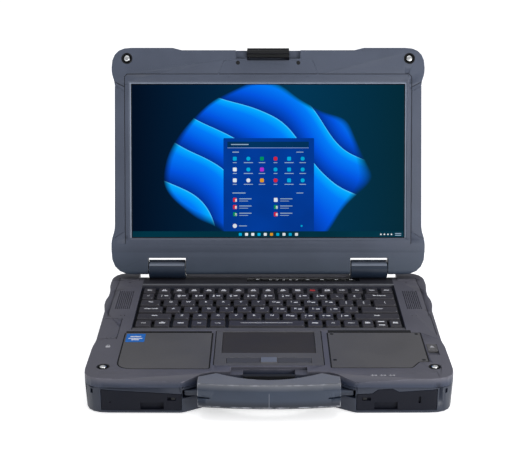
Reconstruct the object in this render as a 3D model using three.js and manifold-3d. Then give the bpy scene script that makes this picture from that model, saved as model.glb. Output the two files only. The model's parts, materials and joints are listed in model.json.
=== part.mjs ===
// A rugged clamshell laptop with a carry handle, shown open.
//
// Units are millimetres and +Z is up. The origin is on the table, under the middle of the whole laptop.
// The user sits at -Y. Pieces of the base are drawn with y counted from the hinge axis and z from the table.
// Pieces of the lid are drawn upright: z is the height along the lid from the hinge axis, and -y is the side
// that faces the user. The lid's group then leans them back.

import * as THREE from "three";
import { mergeVertices } from "three/addons/utils/BufferGeometryUtils.js";
import Module from "manifold-3d";

const wasm = await Module();
wasm.setup();

// ---------------------------------------------------------------- driving dimensions

const GAP = 0.3; // room between pieces that meet

// base
const HALF_WIDTH = 176;
const FOOT_HEIGHT = 0.8;
const SEAM_Z = 27; // where the top cover sits on the bottom case
const DECK_Z = 36.4; // top of the palm rest
const FRONT_Y = -266;
const REAR_Y = 12;
const SKIN = 2.5; // wall thickness of the casings
const SIDE_TAPER = 1.2; // how far the sides lean in at the bottom

// hinge
const HINGE_Z = 46;
const BARREL_RADIUS = 9.4;
const BARREL_BACK_RADIUS = 11.5;
const SHAFT_RADIUS = 3;
const BRACKET = { inner: 94.3, outer: 135.4 };
const OPEN_ANGLE = 106.2; // between the closed and the shown lid
const LEAN = THREE.MathUtils.degToRad(OPEN_ANGLE - 90);

// lid
const LID_HALF = 8.4; // half the lid's thickness
const LID_TOP = 251.1;
const CHIN_BOTTOM = -5;
const SCREEN = { x: 154.7, bottom: 36.7, top: 210.7 };
const HINGE_NOTCH = { inner: 93.4, outer: 136.3, top: 13.9 };

// handle
const HANDLE = { front: -284, bow: 5, end: 67, innerEnd: 50, low: 11.5, high: 36 };
const NOTCH_REAR = -250.5; // back wall of the bay that the handle spans

// keyboard
const WELL = { x: 141.5, front: -150, rear: -23 };
const KEY = { pitch: 19.05, cap: 16.1, low: 32.4, high: 36, draft: 1.1 };
const KEY_GAP = KEY.pitch - KEY.cap;
const ROW_Y = [-38, -55.7, -74.7, -93.7, -112.7, -131.7];
const FUNCTION_KEY_DEPTH = 13.3;
const KEYBOARD_HALF = 138.6;

// touchpad
const PAD_FRAME = { x: 53, front: -235.7, rear: -152.6 };
const PAD = { x: 46.5, front: -207, rear: -155 };
const BUTTON = { inner: 8.6, outer: 41, front: -230.2, rear: -218.7 };

// puts the origin halfway between the front of the handle and the back of the lid
const HINGE_Y = 103.2;

// ---------------------------------------------------------------- geometry helpers

/** A closed outline from [x, y, cutBack] corners; a corner with a cutBack is rounded off. */
function outline(corners) {
  const shape = new THREE.Shape();
  const at = (i) => new THREE.Vector2(...corners[(i + corners.length) % corners.length]);
  corners.forEach(([, , cutBack = 0], i) => {
    const corner = at(i);
    const start = corner.clone().lerp(at(i - 1), cutBack / corner.distanceTo(at(i - 1)));
    const end = corner.clone().lerp(at(i + 1), cutBack / corner.distanceTo(at(i + 1)));
    if (i === 0) shape.moveTo(start.x, start.y);
    else shape.lineTo(start.x, start.y);
    if (cutBack > 0) shape.quadraticCurveTo(corner.x, corner.y, end.x, end.y);
  });
  shape.closePath();
  return shape;
}

/** The right half of an outline, from the front to the rear, closed with its mirror image. */
function mirroredOutline(rightHalf) {
  const leftHalf = rightHalf.map(([x, ...rest]) => [-x, ...rest]).reverse();
  return outline([...rightHalf, ...leftHalf]);
}

function rectangle(x0, x1, y0, y1, cutBack = 0) {
  return outline([[x0, y0, cutBack], [x1, y0, cutBack], [x1, y1, cutBack], [x0, y1, cutBack]]);
}

const ROUND_STEPS = 5;

/** A shape drawn in x and y, extruded upwards. */
function slab(shape, low, high, curveSegments = ROUND_STEPS) {
  const options = { depth: high - low, bevelEnabled: false, curveSegments };
  return new THREE.ExtrudeGeometry(shape, options).translate(0, 0, low);
}

/** A shape drawn in x and z, extruded along y. */
function standing(shape, near, far, curveSegments = ROUND_STEPS) {
  return slab(shape, -far, -near, curveSegments).rotateX(Math.PI / 2);
}

/** A shape drawn in y and z, extruded along x. */
function across(shape, left, right, curveSegments = ROUND_STEPS) {
  const turn = new THREE.Matrix4().makeBasis(
    new THREE.Vector3(0, 1, 0),
    new THREE.Vector3(0, 0, 1),
    new THREE.Vector3(1, 0, 0),
  );
  return slab(shape, left, right, curveSegments).applyMatrix4(turn);
}

function box(x0, x1, y0, y1, z0, z1) {
  const geometry = new THREE.BoxGeometry(Math.abs(x1 - x0), Math.abs(y1 - y0), Math.abs(z1 - z0));
  return geometry.translate((x0 + x1) / 2, (y0 + y1) / 2, (z0 + z1) / 2);
}

/** A round bar along z. */
function post(radius, x, y, z0, z1, sides = 20) {
  const geometry = new THREE.CylinderGeometry(radius, radius, z1 - z0, sides);
  return geometry.rotateX(Math.PI / 2).translate(x, y, (z0 + z1) / 2);
}

/** A round bar along x. */
function axle(radius, x0, x1, y, z, sides = 24) {
  const geometry = new THREE.CylinderGeometry(radius, radius, Math.abs(x1 - x0), sides);
  return geometry.rotateZ(Math.PI / 2).translate((x0 + x1) / 2, y, z);
}

/** A round bar along y. */
function stub(radius, x, z, y0, y1, sides = 20) {
  const geometry = new THREE.CylinderGeometry(radius, radius, y1 - y0, sides);
  return geometry.translate(x, (y0 + y1) / 2, z);
}

/** A skin over rings of points, closed by a fan at each end. The rings are convex and run the same way. */
function loft(rings) {
  const count = rings[0].length;
  const index = [];
  for (let r = 0; r + 1 < rings.length; r++) {
    for (let i = 0; i < count; i++) {
      const a = r * count + i;
      const b = r * count + ((i + 1) % count);
      index.push(a, b, a + count, b, b + count, a + count);
    }
  }
  const last = (rings.length - 1) * count;
  for (let i = 1; i + 1 < count; i++) {
    index.push(0, i + 1, i);
    index.push(last, last + i, last + i + 1);
  }
  const geometry = new THREE.BufferGeometry();
  geometry.setAttribute("position", new THREE.Float32BufferAttribute(rings.flat(2), 3));
  geometry.setIndex(index);
  return geometry;
}

/** Moves every point of a geometry. */
function reshape(geometry, move) {
  const position = geometry.getAttribute("position");
  const point = new THREE.Vector3();
  for (let i = 0; i < position.count; i++) {
    point.fromBufferAttribute(position, i);
    move(point);
    position.setXYZ(i, point.x, point.y, point.z);
  }
  return geometry;
}

/** A geometry as a manifold-3d solid. */
function solid(shape) {
  if (!shape.isBufferGeometry) return shape;
  const bare = new THREE.BufferGeometry();
  bare.setAttribute("position", shape.getAttribute("position"));
  bare.setIndex(shape.index);
  const merged = mergeVertices(bare, 1e-4);
  return new wasm.Manifold(
    new wasm.Mesh({
      numProp: 3,
      vertProperties: Float32Array.from(merged.attributes.position.array),
      triVerts: Uint32Array.from(merged.index.array),
    }),
  );
}

const join = (first, ...others) => others.reduce((sum, other) => sum.add(solid(other)), solid(first));
const cut = (first, ...tools) => tools.reduce((rest, tool) => rest.subtract(solid(tool)), solid(first));
const common = (first, second) => solid(first).intersect(solid(second));

/** The same solid on the other side of the x = 0 plane. */
function mirrored(shape) {
  const { geometry } = meshOf("mirror", shape, MATERIALS.case);
  geometry.scale(-1, 1, 1);
  const index = geometry.index.array;
  for (let i = 0; i < index.length; i += 3) [index[i], index[i + 1]] = [index[i + 1], index[i]];
  return solid(geometry);
}

function meshOf(name, shape, material) {
  const { vertProperties, triVerts } = solid(shape).getMesh();
  const geometry = new THREE.BufferGeometry();
  geometry.setAttribute("position", new THREE.Float32BufferAttribute(vertProperties, 3));
  geometry.setIndex(new THREE.Uint32BufferAttribute(triVerts, 1));
  const mesh = new THREE.Mesh(geometry, material);
  mesh.name = name;
  return mesh;
}

function finish(color, roughness, metalness = 0) {
  return new THREE.MeshStandardMaterial({ color, roughness, metalness });
}

const MATERIALS = {
  case: finish(0x45474c, 0.62, 0.1),
  lid: finish(0x464c59, 0.58, 0.1),
  panel: finish(0x4d4d50, 0.55),
  hinge: finish(0x2b3038, 0.55, 0.3),
  keys: finish(0x2b2d33, 0.5),
  dark: finish(0x16181c, 0.6),
  screen: finish(0x06203c, 0.15),
  rubber: finish(0x1b1c1e, 0.9),
  steel: finish(0xd5d7da, 0.25, 1),
  board: finish(0x1f4a33, 0.5),
  copper: finish(0xa8683c, 0.35, 1),
};

const base = new THREE.Group();
base.position.set(0, HINGE_Y, 0);

const lid = new THREE.Group();
lid.position.set(0, HINGE_Y, HINGE_Z);
lid.rotation.x = -LEAN;

const inBase = (name, shape, material) => base.add(meshOf(name, shape, material));
const inLid = (name, shape, material) => lid.add(meshOf(name, shape, material));

const SIDES = { left: -1, right: 1 };

// ---------------------------------------------------------------- base casings

const LOBE = { inner: 147, rear: 14 }; // raised rear corners
const BATTERY = { inner: 83.4, outer: 158.2, rear: -152, low: 4.4, high: 19.6 };
const DOOR_BACK = -261.6;
const DOOR_PULL = { inner: 99.5, outer: 121.5, depth: 3.4, low: 4.6, high: 11.6 };
const BATTERY_LATCH = { inner: 88, outer: 96, low: 13.6, high: 16.8 };
const PORT_BAY = { front: -110, rear: -40, low: 7, high: 22 };
const STUD = { x: 159, y: -239, radius: 3.3, well: 6.3 };
const LATCH_RECESS = { x: 36.5, rear: -240, floor: 33.4 };
const LATCH_SLOT = { x: 24.9, rear: -240.2, floor: 27.4 };
const RELEASE = {
  inner: 157,
  outer: 167.5,
  front: -212,
  rear: -186,
  floor: 34.2,
  sliderFront: -203,
  gripY: [-200, -197.5],
};
const STRIP = { left: -24, right: 104, front: -12.5, rear: -1.2, low: 35.4 };
const PALM_FLOOR = 35.2;
const VENT = { first: -84, pitch: 6, count: 8, width: 3, low: 9, high: 22 };
const WELL_WALL = 3;
const OPEN_Z = 40; // a height above everything on the deck, where a cut from above starts
const THROUGH_DECK = [20, OPEN_Z]; // heights of a cut that goes right through the top cover
const LOBE_RISE = 0.8;

/** The base seen from above: side bumpers swell and dip, and a bay at the front holds the handle. */
function baseOutline() {
  return mirroredOutline([
    [56, NOTCH_REAR, 5],
    [82, FRONT_Y, 3],
    [HALF_WIDTH, FRONT_Y, 23],
    [HALF_WIDTH - 0.5, -193, 4],
    [HALF_WIDTH - 2.2, -178, 6],
    [HALF_WIDTH - 1.2, -96, 6],
    [HALF_WIDTH + 1.4, -82, 4],
    [HALF_WIDTH + 1.4, -67, 4],
    [HALF_WIDTH - 0.4, -57, 4],
    [HALF_WIDTH - 0.4, -42, 6],
    [HALF_WIDTH + 1.8, -24, 6],
    [HALF_WIDTH + 2, LOBE.rear, 26],
    [LOBE.inner, LOBE.rear],
    [LOBE.inner, 1],
    [BRACKET.outer + 0.5, 1],
    [BRACKET.outer + 0.5, REAR_Y],
  ]);
}

/** The base's outer form between two heights, leaning in towards the table. */
function baseBody(low, high) {
  const lean = (point) => {
    const sunk = (SEAM_Z - Math.min(point.z, SEAM_Z)) / (SEAM_Z - FOOT_HEIGHT);
    if (Math.abs(point.x) > 150) point.x -= Math.sign(point.x) * SIDE_TAPER * sunk;
    if (Math.abs(point.x) > 100 && point.y < -200) point.y += 0.4 * sunk;
  };
  return reshape(slab(baseOutline(), low, high), lean);
}

/** The wedge that lets the front of the deck fall away towards the handle. */
function frontSlope() {
  const start = -254;
  const ring = (x, drop) => [
    [x, start, DECK_Z - 0.02],
    [x, start, DECK_Z + 0.5],
    [x, FRONT_Y - 2, DECK_Z + 0.5],
    [x, FRONT_Y - 2, DECK_Z - drop],
  ];
  return loft([ring(50, 7.5), ring(160, 0.05)]);
}

const SLITS = { count: 8, first: 149.2, pitch: 2.1, halfWidth: 0.35, front: -94, rear: -41 };

/** The slits in the deck above a speaker. */
function speakerSlits(side) {
  const slits = [];
  for (let i = 0; i < SLITS.count; i++) {
    const x = side * (SLITS.first + SLITS.pitch * i);
    slits.push(box(x - SLITS.halfWidth, x + SLITS.halfWidth, SLITS.front, SLITS.rear, ...THROUGH_DECK));
  }
  return slits;
}

function palmOutline(side, grow) {
  if (side < 0) {
    return outline([
      [-145.8 - grow, -158 + grow, 2],
      [-57.3 + grow, -158 + grow, 2],
      [-57.3 + grow, -243.7 - grow, 2],
      [-145.8 - grow, -243.7 - grow, 15],
    ]);
  }
  return outline([
    [60 - grow, -157.7 + grow, 1],
    [154.6 + grow, -157.7 + grow, 1],
    [154.6 + grow, -228 - grow, 1],
    [145.5 + grow / 2, -228 - grow, 1],
    [137 + grow / 2, -241.5 - grow, 2],
    [60 - grow, -241.5 - grow, 1],
  ]);
}

/** A step down from the deck to the bay of the handle. */
function frontStep({ x, rear, floor }) {
  return box(-x, x, NOTCH_REAR - 2, rear, floor, OPEN_Z);
}

function topCover() {
  const cavity = cut(
    box(-171, 171, -234, 8, SEAM_Z - 1, DECK_Z - SKIN),
    box(-WELL.x - WELL_WALL, WELL.x + WELL_WALL, WELL.front - 2.3, WELL.rear + WELL_WALL, ...THROUGH_DECK),
  );
  const raised = [DECK_Z - 1, DECK_Z + LOBE_RISE];
  const lobe = (side) => common(baseBody(...raised), box(side * LOBE.inner, side * 190, -9, 20, ...raised));
  const rearLedge = box(-91, 91, 2.6, REAR_Y, ...raised);
  const body = join(baseBody(SEAM_Z, DECK_Z), lobe(-1), lobe(1), rearLedge);
  const padHalf = PAD_FRAME.x + GAP;
  const openings = [
    cavity,
    box(-WELL.x, WELL.x, WELL.front, WELL.rear, ...THROUGH_DECK),
    box(-padHalf, padHalf, PAD_FRAME.front - GAP, PAD_FRAME.rear + GAP, ...THROUGH_DECK),
    frontStep(LATCH_RECESS),
    frontStep(LATCH_SLOT),
    box(RELEASE.inner, RELEASE.outer, RELEASE.front, RELEASE.rear, RELEASE.floor, OPEN_Z),
    box(STRIP.left - GAP, STRIP.right + GAP, STRIP.front - GAP, STRIP.rear + GAP, STRIP.low - 0.1, OPEN_Z),
    ...frontPanelHoles(),
    frontSlope(),
    mirrored(frontSlope()),
  ];
  for (const side of Object.values(SIDES)) {
    openings.push(slab(palmOutline(side, GAP), PALM_FLOOR, OPEN_Z));
    openings.push(post(STUD.well, side * STUD.x, STUD.y, DECK_Z - 2.4, OPEN_Z));
    openings.push(post(STUD.radius + GAP, side * STUD.x, STUD.y, DECK_Z - 6, OPEN_Z));
    openings.push(box(side * (BRACKET.inner - GAP), side * (BRACKET.outer + 1), -GAP, 20, 30, OPEN_Z));
    openings.push(...speakerSlits(side));
  }
  return cut(body, ...openings);
}

const DOOR = {
  low: 3.2,
  inner: 82.4,
  outer: 158.8,
  innerTop: 20.2,
  outerTop: 25.2,
  catchHousing: [[97.5, 21], [102.4, 25], [116.4, 25.9], [122.7, 22.6]],
};

/** The front of a battery bay: the right one has a raised catch housing in its top edge. */
function doorOutline(side, shrink) {
  const low = DOOR.low + shrink;
  const inner = DOOR.inner + shrink;
  const outer = DOOR.outer - shrink;
  const housing = side < 0 ? [] : DOOR.catchHousing.map(([x, z]) => [x, z - shrink]);
  const innerTop = [inner, DOOR.innerTop - shrink];
  const outerTop = [outer, DOOR.outerTop - shrink];
  const corners = [[inner, low], innerTop, ...housing, outerTop, [outer, low]];
  return outline(corners.map(([x, z]) => [side * x, z]));
}

function bottomCase() {
  const openings = [box(-168, 168, -246, 8, 4, 40)];
  for (const side of Object.values(SIDES)) {
    openings.push(standing(doorOutline(side, 0), FRONT_Y - 5, DOOR_BACK + GAP));
    openings.push(box(side * 83, side * 158.6, -263, -244, 4, 20));
    openings.push(box(side * 61, side * 81.6, -275, -251.5, 15.6, 24));
    openings.push(box(side * 190, side * 156, PORT_BAY.front, PORT_BAY.rear, PORT_BAY.low, PORT_BAY.high));
    openings.push(box(side * 190, side * 171, PORT_BAY.front - 8, PORT_BAY.front, 12, 17));
    openings.push(cornerSlot(side));
  }
  for (let i = 0; i < VENT.count; i++) {
    const x = VENT.first + VENT.pitch * i;
    openings.push(box(x, x + VENT.width, 5, 20, VENT.low, VENT.high));
  }
  return cut(baseBody(FOOT_HEIGHT, SEAM_Z - GAP), ...openings);
}

/** A blind recess in each front corner. */
function cornerSlot(side) {
  const slot = box(-1.4, 1.4, -9, 9, 20, 24.5);
  return slot.rotateZ(side * THREE.MathUtils.degToRad(38)).translate(side * 167, -261, 0);
}

function foot(y0, y1) {
  const ring = (inset, z) => [
    [-130 + inset, y0 + inset, z],
    [130 - inset, y0 + inset, z],
    [130 - inset, y1 - inset, z],
    [-130 + inset, y1 - inset, z],
  ];
  return loft([ring(0.8, 0), ring(0, FOOT_HEIGHT)]);
}

// ---------------------------------------------------------------- handle and latch catch

/** The grip's back edge: hollowed in the middle, cut off at an angle at both ends. */
function gripRear(x) {
  const reach = Math.abs(x);
  if (reach <= HANDLE.innerEnd) return -267.4 + 15.2 * (reach / HANDLE.innerEnd) ** 2;
  return -252.2 - (7.8 * (reach - HANDLE.innerEnd)) / (HANDLE.end - HANDLE.innerEnd);
}

function gripFront(x) {
  return HANDLE.front + HANDLE.bow * (x / HANDLE.end) ** 2;
}

function carryHandle() {
  const ring = (x) => {
    const front = gripFront(x);
    const rear = gripRear(x);
    return [
      [x, rear, HANDLE.low + 2],
      [x, rear, HANDLE.high],
      [x, front + 4, HANDLE.high],
      [x, front, HANDLE.high - 5],
      [x, front, HANDLE.low + 3],
      [x, front + 4, HANDLE.low],
      [x, rear - 3, HANDLE.low],
    ];
  };
  const half = [HANDLE.end, 58, HANDLE.innerEnd, 40, 30, 20, 10];
  const stations = [...half.map((x) => -x), 0, ...half.toReversed()];
  const grip = loft(stations.map(ring));
  const lug = (side) => box(side * 60, side * 80, -262.5, -256, 17, 22.8);
  return join(grip, lug(-1), lug(1));
}

/** The bar that the lid's hook reaches behind. */
function latchCatch() {
  const section = outline([
    [-254, 28],
    [-249.8, 28],
    [-249.8, 31.6],
    [-248.5, 31.6],
    [-248.5, 33.2],
    [-254, 33.2],
  ]);
  return across(section, -LATCH_SLOT.x + GAP, LATCH_SLOT.x - GAP);
}

// ---------------------------------------------------------------- keyboard

/** One key cap, narrower at its top. */
function keyCap([x0, x1, y0, y1]) {
  const ring = (inset, z) => [
    [x0 + inset, y0 + inset, z],
    [x1 - inset, y0 + inset, z],
    [x1 - inset, y1 - inset, z],
    [x0 + inset, y1 - inset, z],
  ];
  return loft([ring(0, KEY.low), ring(0.25, KEY.high - 1.6), ring(KEY.draft, KEY.high)]);
}

/** Caps of the given widths side by side, as [x0, x1] spans from the left. */
function spread(start, widths, gap = KEY_GAP) {
  let x = start;
  return widths.map((width) => {
    const span = [x, x + width];
    x += width + gap;
    return span;
  });
}

const plain = (count) => Array(count).fill(KEY.cap);

function rowDepth(row) {
  const half = row === 0 ? FUNCTION_KEY_DEPTH / 2 : KEY.cap / 2;
  return [ROW_Y[row] - half, ROW_Y[row] + half];
}

const WEB = { bite: 0.25, depth: 1.1, thick: 0.8 };

/** The one-unit keys of a row, held together by a thin web in the gap behind them. */
function keyRow(row, spans, extraCaps = []) {
  const [front, rear] = rowDepth(row);
  const caps = spans.map(([x0, x1]) => keyCap([x0, x1, front, rear]));
  const left = spans[0][0] + 1;
  const right = spans.at(-1)[1] - 1;
  const web = box(left, right, rear - WEB.bite, rear + WEB.depth, KEY.low, KEY.low + WEB.thick);
  return join(web, ...caps, ...extraCaps);
}

/** A wide key that moves by itself. */
function wideKey(row, [x0, x1]) {
  const [front, rear] = rowDepth(row);
  return keyCap([x0, x1, front, rear - WEB.bite - GAP]);
}

function addKeyboard() {
  const { x, front, rear } = WELL;
  inBase("keyboard_plate", box(-x + GAP, x - GAP, front + GAP, rear - GAP, 28, 30.1), MATERIALS.dark);

  const functionSpans = spread(-KEYBOARD_HALF, Array(17).fill(13.35), 3.14);
  inBase("function_keys", keyRow(0, functionSpans), MATERIALS.keys);

  const end = KEYBOARD_HALF;
  const spansTo = (first, count, lastStart) => {
    const spans = spread(-end, [first, ...plain(count)]);
    return { spans, last: [spans.at(-1)[1] + KEY_GAP, lastStart] };
  };
  const numbers = spansTo(13, 12, end);
  inBase("number_keys", keyRow(1, numbers.spans), MATERIALS.keys);
  inBase("backspace_key", wideKey(1, numbers.last), MATERIALS.keys);

  const upper = spansTo(21.6, 12, end);
  inBase("upper_letter_keys", keyRow(2, [...upper.spans, upper.last]), MATERIALS.keys);

  const home = spansTo(25.7, 11, end);
  inBase("home_row_keys", keyRow(3, home.spans), MATERIALS.keys);
  inBase("enter_key", wideKey(3, home.last), MATERIALS.keys);

  const lower = spansTo(36.2, 10, end);
  inBase("left_shift_key", wideKey(4, lower.spans[0]), MATERIALS.keys);
  inBase("lower_letter_keys", keyRow(4, lower.spans.slice(1)), MATERIALS.keys);
  inBase("right_shift_key", wideKey(4, lower.last), MATERIALS.keys);

  addBottomRow();
}

function addBottomRow() {
  const space = [-41.7, 37.7];
  const leftWidth = (KEYBOARD_HALF + space[0] - 5 * KEY_GAP) / 5;
  const leftKeys = spread(-KEYBOARD_HALF, Array(5).fill(leftWidth));
  const rightKeys = spread(space[1] + KEY_GAP, Array(3).fill(15.9));
  const arrowStart = rightKeys.at(-1)[1] + KEY_GAP;
  const arrowGap = 2;
  const arrowWidth = (KEYBOARD_HALF - arrowStart - 2 * arrowGap) / 3;
  const [leftArrow, middle, rightArrow] = spread(arrowStart, Array(3).fill(arrowWidth), arrowGap);
  const [front, rear] = rowDepth(5);
  const half = (rear - front - arrowGap) / 2;
  const up = keyCap([...middle, rear - half, rear]);
  const down = keyCap([...middle, front, front + half]);
  const tie = box(middle[0] + 2, rightArrow[0] + 2, front + 2, front + 5, KEY.low, KEY.low + WEB.thick);
  const spans = [...leftKeys, ...rightKeys, leftArrow, rightArrow];
  inBase("bottom_row_keys", keyRow(5, spans, [up, down, tie]), MATERIALS.keys);
  inBase("space_key", wideKey(5, space), MATERIALS.keys);
}

// ---------------------------------------------------------------- touchpad and palm rest

function touchpadFrame() {
  const { x, front, rear } = PAD_FRAME;
  const grow = GAP + 0.1;
  const plate = box(-x, x, front, rear, 33.2, DECK_Z - 0.2);
  const pocket = box(-PAD.x, PAD.x, PAD.front, PAD.rear, ...THROUGH_DECK);
  const hole = box(
    BUTTON.inner - grow,
    BUTTON.outer + grow,
    BUTTON.front - grow,
    BUTTON.rear + grow,
    ...THROUGH_DECK,
  );
  const sensorHalf = BUTTON.inner - 0.6;
  const sensor = box(-sensorHalf, sensorHalf, BUTTON.front, BUTTON.rear, 34, DECK_Z + 0.5);
  return join(cut(plate, pocket, hole, mirrored(hole)), sensor);
}

function addTouchpad() {
  inBase("touchpad_frame", touchpadFrame(), MATERIALS.dark);
  const { x, front, rear } = PAD;
  inBase("touchpad", box(-x + GAP, x - GAP, front + GAP, rear - GAP, 33.4, 35.5), MATERIALS.dark);
  for (const [name, side] of Object.entries(SIDES)) {
    const button = slab(
      rectangle(side * BUTTON.inner, side * BUTTON.outer, BUTTON.front, BUTTON.rear, 0.8),
      33.6,
      DECK_Z - 0.1,
      2,
    );
    inBase(`touchpad_button_${name}`, button, MATERIALS.dark);
    inBase(`${name}_palm_panel`, slab(palmOutline(side, 0), PALM_FLOOR + 0.1, DECK_Z), MATERIALS.panel);
    const pin = new THREE.Vector2(side * STUD.x, STUD.y);
    const stud = join(
      post(STUD.radius, pin.x, pin.y, DECK_Z - 5.5, DECK_Z + 0.5),
      post(STUD.radius + 0.9, pin.x, pin.y, DECK_Z - 2.2, DECK_Z - 1.4),
    );
    inBase(`base_stud_${name}`, stud, MATERIALS.steel);
  }
}

function mediaRelease() {
  const { inner, outer, rear, floor, sliderFront, gripY } = RELEASE;
  const slider = box(inner + GAP, outer - GAP, sliderFront, rear - GAP, floor + 0.2, DECK_Z);
  const grips = gripY.map((y) => box(inner + 2, outer - 2, y, y + 1, DECK_Z - 0.5, OPEN_Z));
  return cut(slider, ...grips);
}

// ---------------------------------------------------------------- indicator strip and its buttons

const POWER_X = -11.8;
const SHORTCUT_X = [44.9, 61.3, 77.8, 94.3];
const PANEL_BUTTON = { y: -6.6, halfDepth: 2.6, low: 34.3, high: DECK_Z + 0.2 };

/** A button of the indicator strip or, with some grow, the hole that it moves in. */
function panelButton(x, halfWidth, grow = 0) {
  const { y, halfDepth } = PANEL_BUTTON;
  const [low, high] = grow ? [30, 40] : [PANEL_BUTTON.low, PANEL_BUTTON.high];
  const halfX = halfWidth + grow;
  const halfY = halfDepth + grow;
  return slab(rectangle(x - halfX, x + halfX, y - halfY, y + halfY, 1.4), low, high, 3);
}

const POWER_HALF = 4.2;
const SHORTCUT_HALF = 5;

function frontPanelHoles() {
  const power = panelButton(POWER_X, POWER_HALF, GAP);
  return [power, ...SHORTCUT_X.map((x) => panelButton(x, SHORTCUT_HALF, GAP))];
}

function addIndicatorStrip() {
  const strip = slab(
    rectangle(STRIP.left, STRIP.right, STRIP.front, STRIP.rear, 1.5),
    STRIP.low,
    DECK_Z,
    3,
  );
  inBase("indicator_strip", cut(strip, ...frontPanelHoles()), MATERIALS.dark);
  inBase("power_button", panelButton(POWER_X, POWER_HALF), MATERIALS.dark);
  SHORTCUT_X.forEach((x, i) => {
    inBase(`shortcut_button_${i + 1}`, panelButton(x, SHORTCUT_HALF), MATERIALS.dark);
  });
}

// ---------------------------------------------------------------- batteries and port covers

function batteryPack(side) {
  const { inner, outer, rear, low, high } = BATTERY;
  const door = common(
    baseBody(FOOT_HEIGHT, SEAM_Z),
    standing(doorOutline(side, GAP), FRONT_Y - 5, DOOR_BACK),
  );
  const cells = box(side * inner, side * outer, DOOR_BACK - 0.5, rear, low, high);
  const pocket = ({ inner: x0, outer: x1, low: z0, high: z1 }, depth) =>
    box(side * x0, side * x1, FRONT_Y - 5, FRONT_Y + depth, z0, z1);
  return cut(join(door, cells), pocket(DOOR_PULL, DOOR_PULL.depth), pocket(BATTERY_LATCH, 3));
}

function batteryLatch(side) {
  const { inner, low, high } = BATTERY_LATCH;
  const [x0, x1] = [inner + 0.4, inner + 4.4];
  return box(side * x0, side * x1, FRONT_Y + 0.8, FRONT_Y + 2.7, low + GAP, high - GAP);
}

function portCover(side) {
  const { front, rear, low, high } = PORT_BAY;
  const face = common(
    baseBody(FOOT_HEIGHT, SEAM_Z),
    box(side * 190, side * 173.2, front + GAP, rear - GAP, low + GAP, high - GAP),
  );
  const plug = box(side * 174, side * 171.1, front + 4, rear - 4, low + 3, high - 3);
  const pull = box(side * 190, side * 174.5, (front + rear) / 2 - 6, (front + rear) / 2 + 6, high - 3, high);
  return cut(join(face, plug), pull);
}

const SOCKETS = {
  left: [
    { y: -100, width: 9, low: 10, high: 19 }, // power
    { y: -81, width: 13.2, low: 11.5, high: 17.2 }, // data
    { y: -56, width: 13.2, low: 11.5, high: 17.2 }, // data
  ],
  right: [
    { y: -96, width: 12, low: 10, high: 18 }, // network
    { y: -74, width: 15, low: 11.7, high: 17 }, // display
    { y: -53, width: 13.2, low: 11.5, high: 17.2 }, // data
  ],
};

/** The block of sockets behind a port cover. */
function connectors(name, side) {
  const { front, rear, low, high } = PORT_BAY;
  const block = box(side * 170.4, side * 157.5, front + GAP, rear - GAP, low + GAP, high - GAP);
  const holes = SOCKETS[name].map(({ y, width, low: bottom, high: top }) =>
    box(side * 175, side * 160, y - width / 2, y + width / 2, bottom, top),
  );
  return cut(block, ...holes);
}

// ---------------------------------------------------------------- inside the base

const FAN = { x: -118, y: -46, radius: 22, hub: 8, blades: 9, floor: 9.4, top: 18 };
const FAN_HOUSING = { half: 25, length: 58, well: 23.4 };
const BOARD_TOP = 10.6;

/** Chips on the mainboard, as [x0, x1, y0, y1, top]. */
const CHIPS = [
  [-40, -4, -70, -34, 12.4],
  [10, 24, -66, -52, 12],
  [-30, 40, -110, -82, 14.5],
  [52, 74, -60, -38, 13.2],
  [-80, -62, -130, -100, 13.4],
  [30, 46, -40, -22, 12.2],
];

function mainboard() {
  const board = box(-86, 76, -140, -12, 9, BOARD_TOP);
  const chips = CHIPS.map(([x0, x1, y0, y1, top]) => box(x0, x1, y0, y1, BOARD_TOP - 0.1, top));
  return join(board, ...chips);
}

/** Fan housing, finned radiator and the heat pipe that reaches the processor. */
function heatSink() {
  const { x, y, floor, top } = FAN;
  const { half, length, well } = FAN_HOUSING;
  const rear = y - half + length;
  const housing = cut(
    box(x - half, x + half, y - half, rear, 7.6, top + 1),
    post(well, x, y, floor - 0.4, 30, 32),
    box(x - 16, x + 16, y + 14, rear - 3, floor - 0.4, 30),
  );
  const fins = [];
  for (let i = 0; i < 9; i++) {
    const finX = x - 14.5 + 3.4 * i;
    fins.push(box(finX, finX + 1, rear - 9, rear - 2, 8, top + 1));
  }
  const pipe = box(x + half - 1, -8, -58, -48, 12.8, 15.4);
  const pin = post(1.4, x, y, 8, top - 2, 12);
  return join(housing, ...fins, pipe, pin);
}

function fanRotor() {
  const { x, y, radius, hub, blades, floor, top } = FAN;
  const parts = [];
  for (let i = 0; i < blades; i++) {
    const blade = box(hub - 1, radius, -0.6, 0.6, floor + 1, top - 1.5);
    parts.push(blade.rotateZ((i * 2 * Math.PI) / blades).translate(x, y, 0));
  }
  return cut(join(post(hub, x, y, floor + 0.6, top - 0.6, 24), ...parts), post(1.6, x, y, 0, 40, 16));
}

function addInternals() {
  inBase("mainboard", mainboard(), MATERIALS.board);
  inBase("heat_sink", heatSink(), MATERIALS.copper);
  inBase("cooling_fan", fanRotor(), MATERIALS.dark);
  inBase("storage_drive", slab(rectangle(66, 148, -232, -162, 2), 23, 30, 2), MATERIALS.steel);
  for (const [name, side] of Object.entries(SIDES)) {
    const speaker = cut(
      box(side * 146.5, side * 166.5, -96, -39, 24, 33.2),
      box(side * 149, side * 164, -93, -42, 26.5, 40),
    );
    inBase(`speaker_${name}`, speaker, MATERIALS.dark);
  }
}

// ---------------------------------------------------------------- hinges

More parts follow.
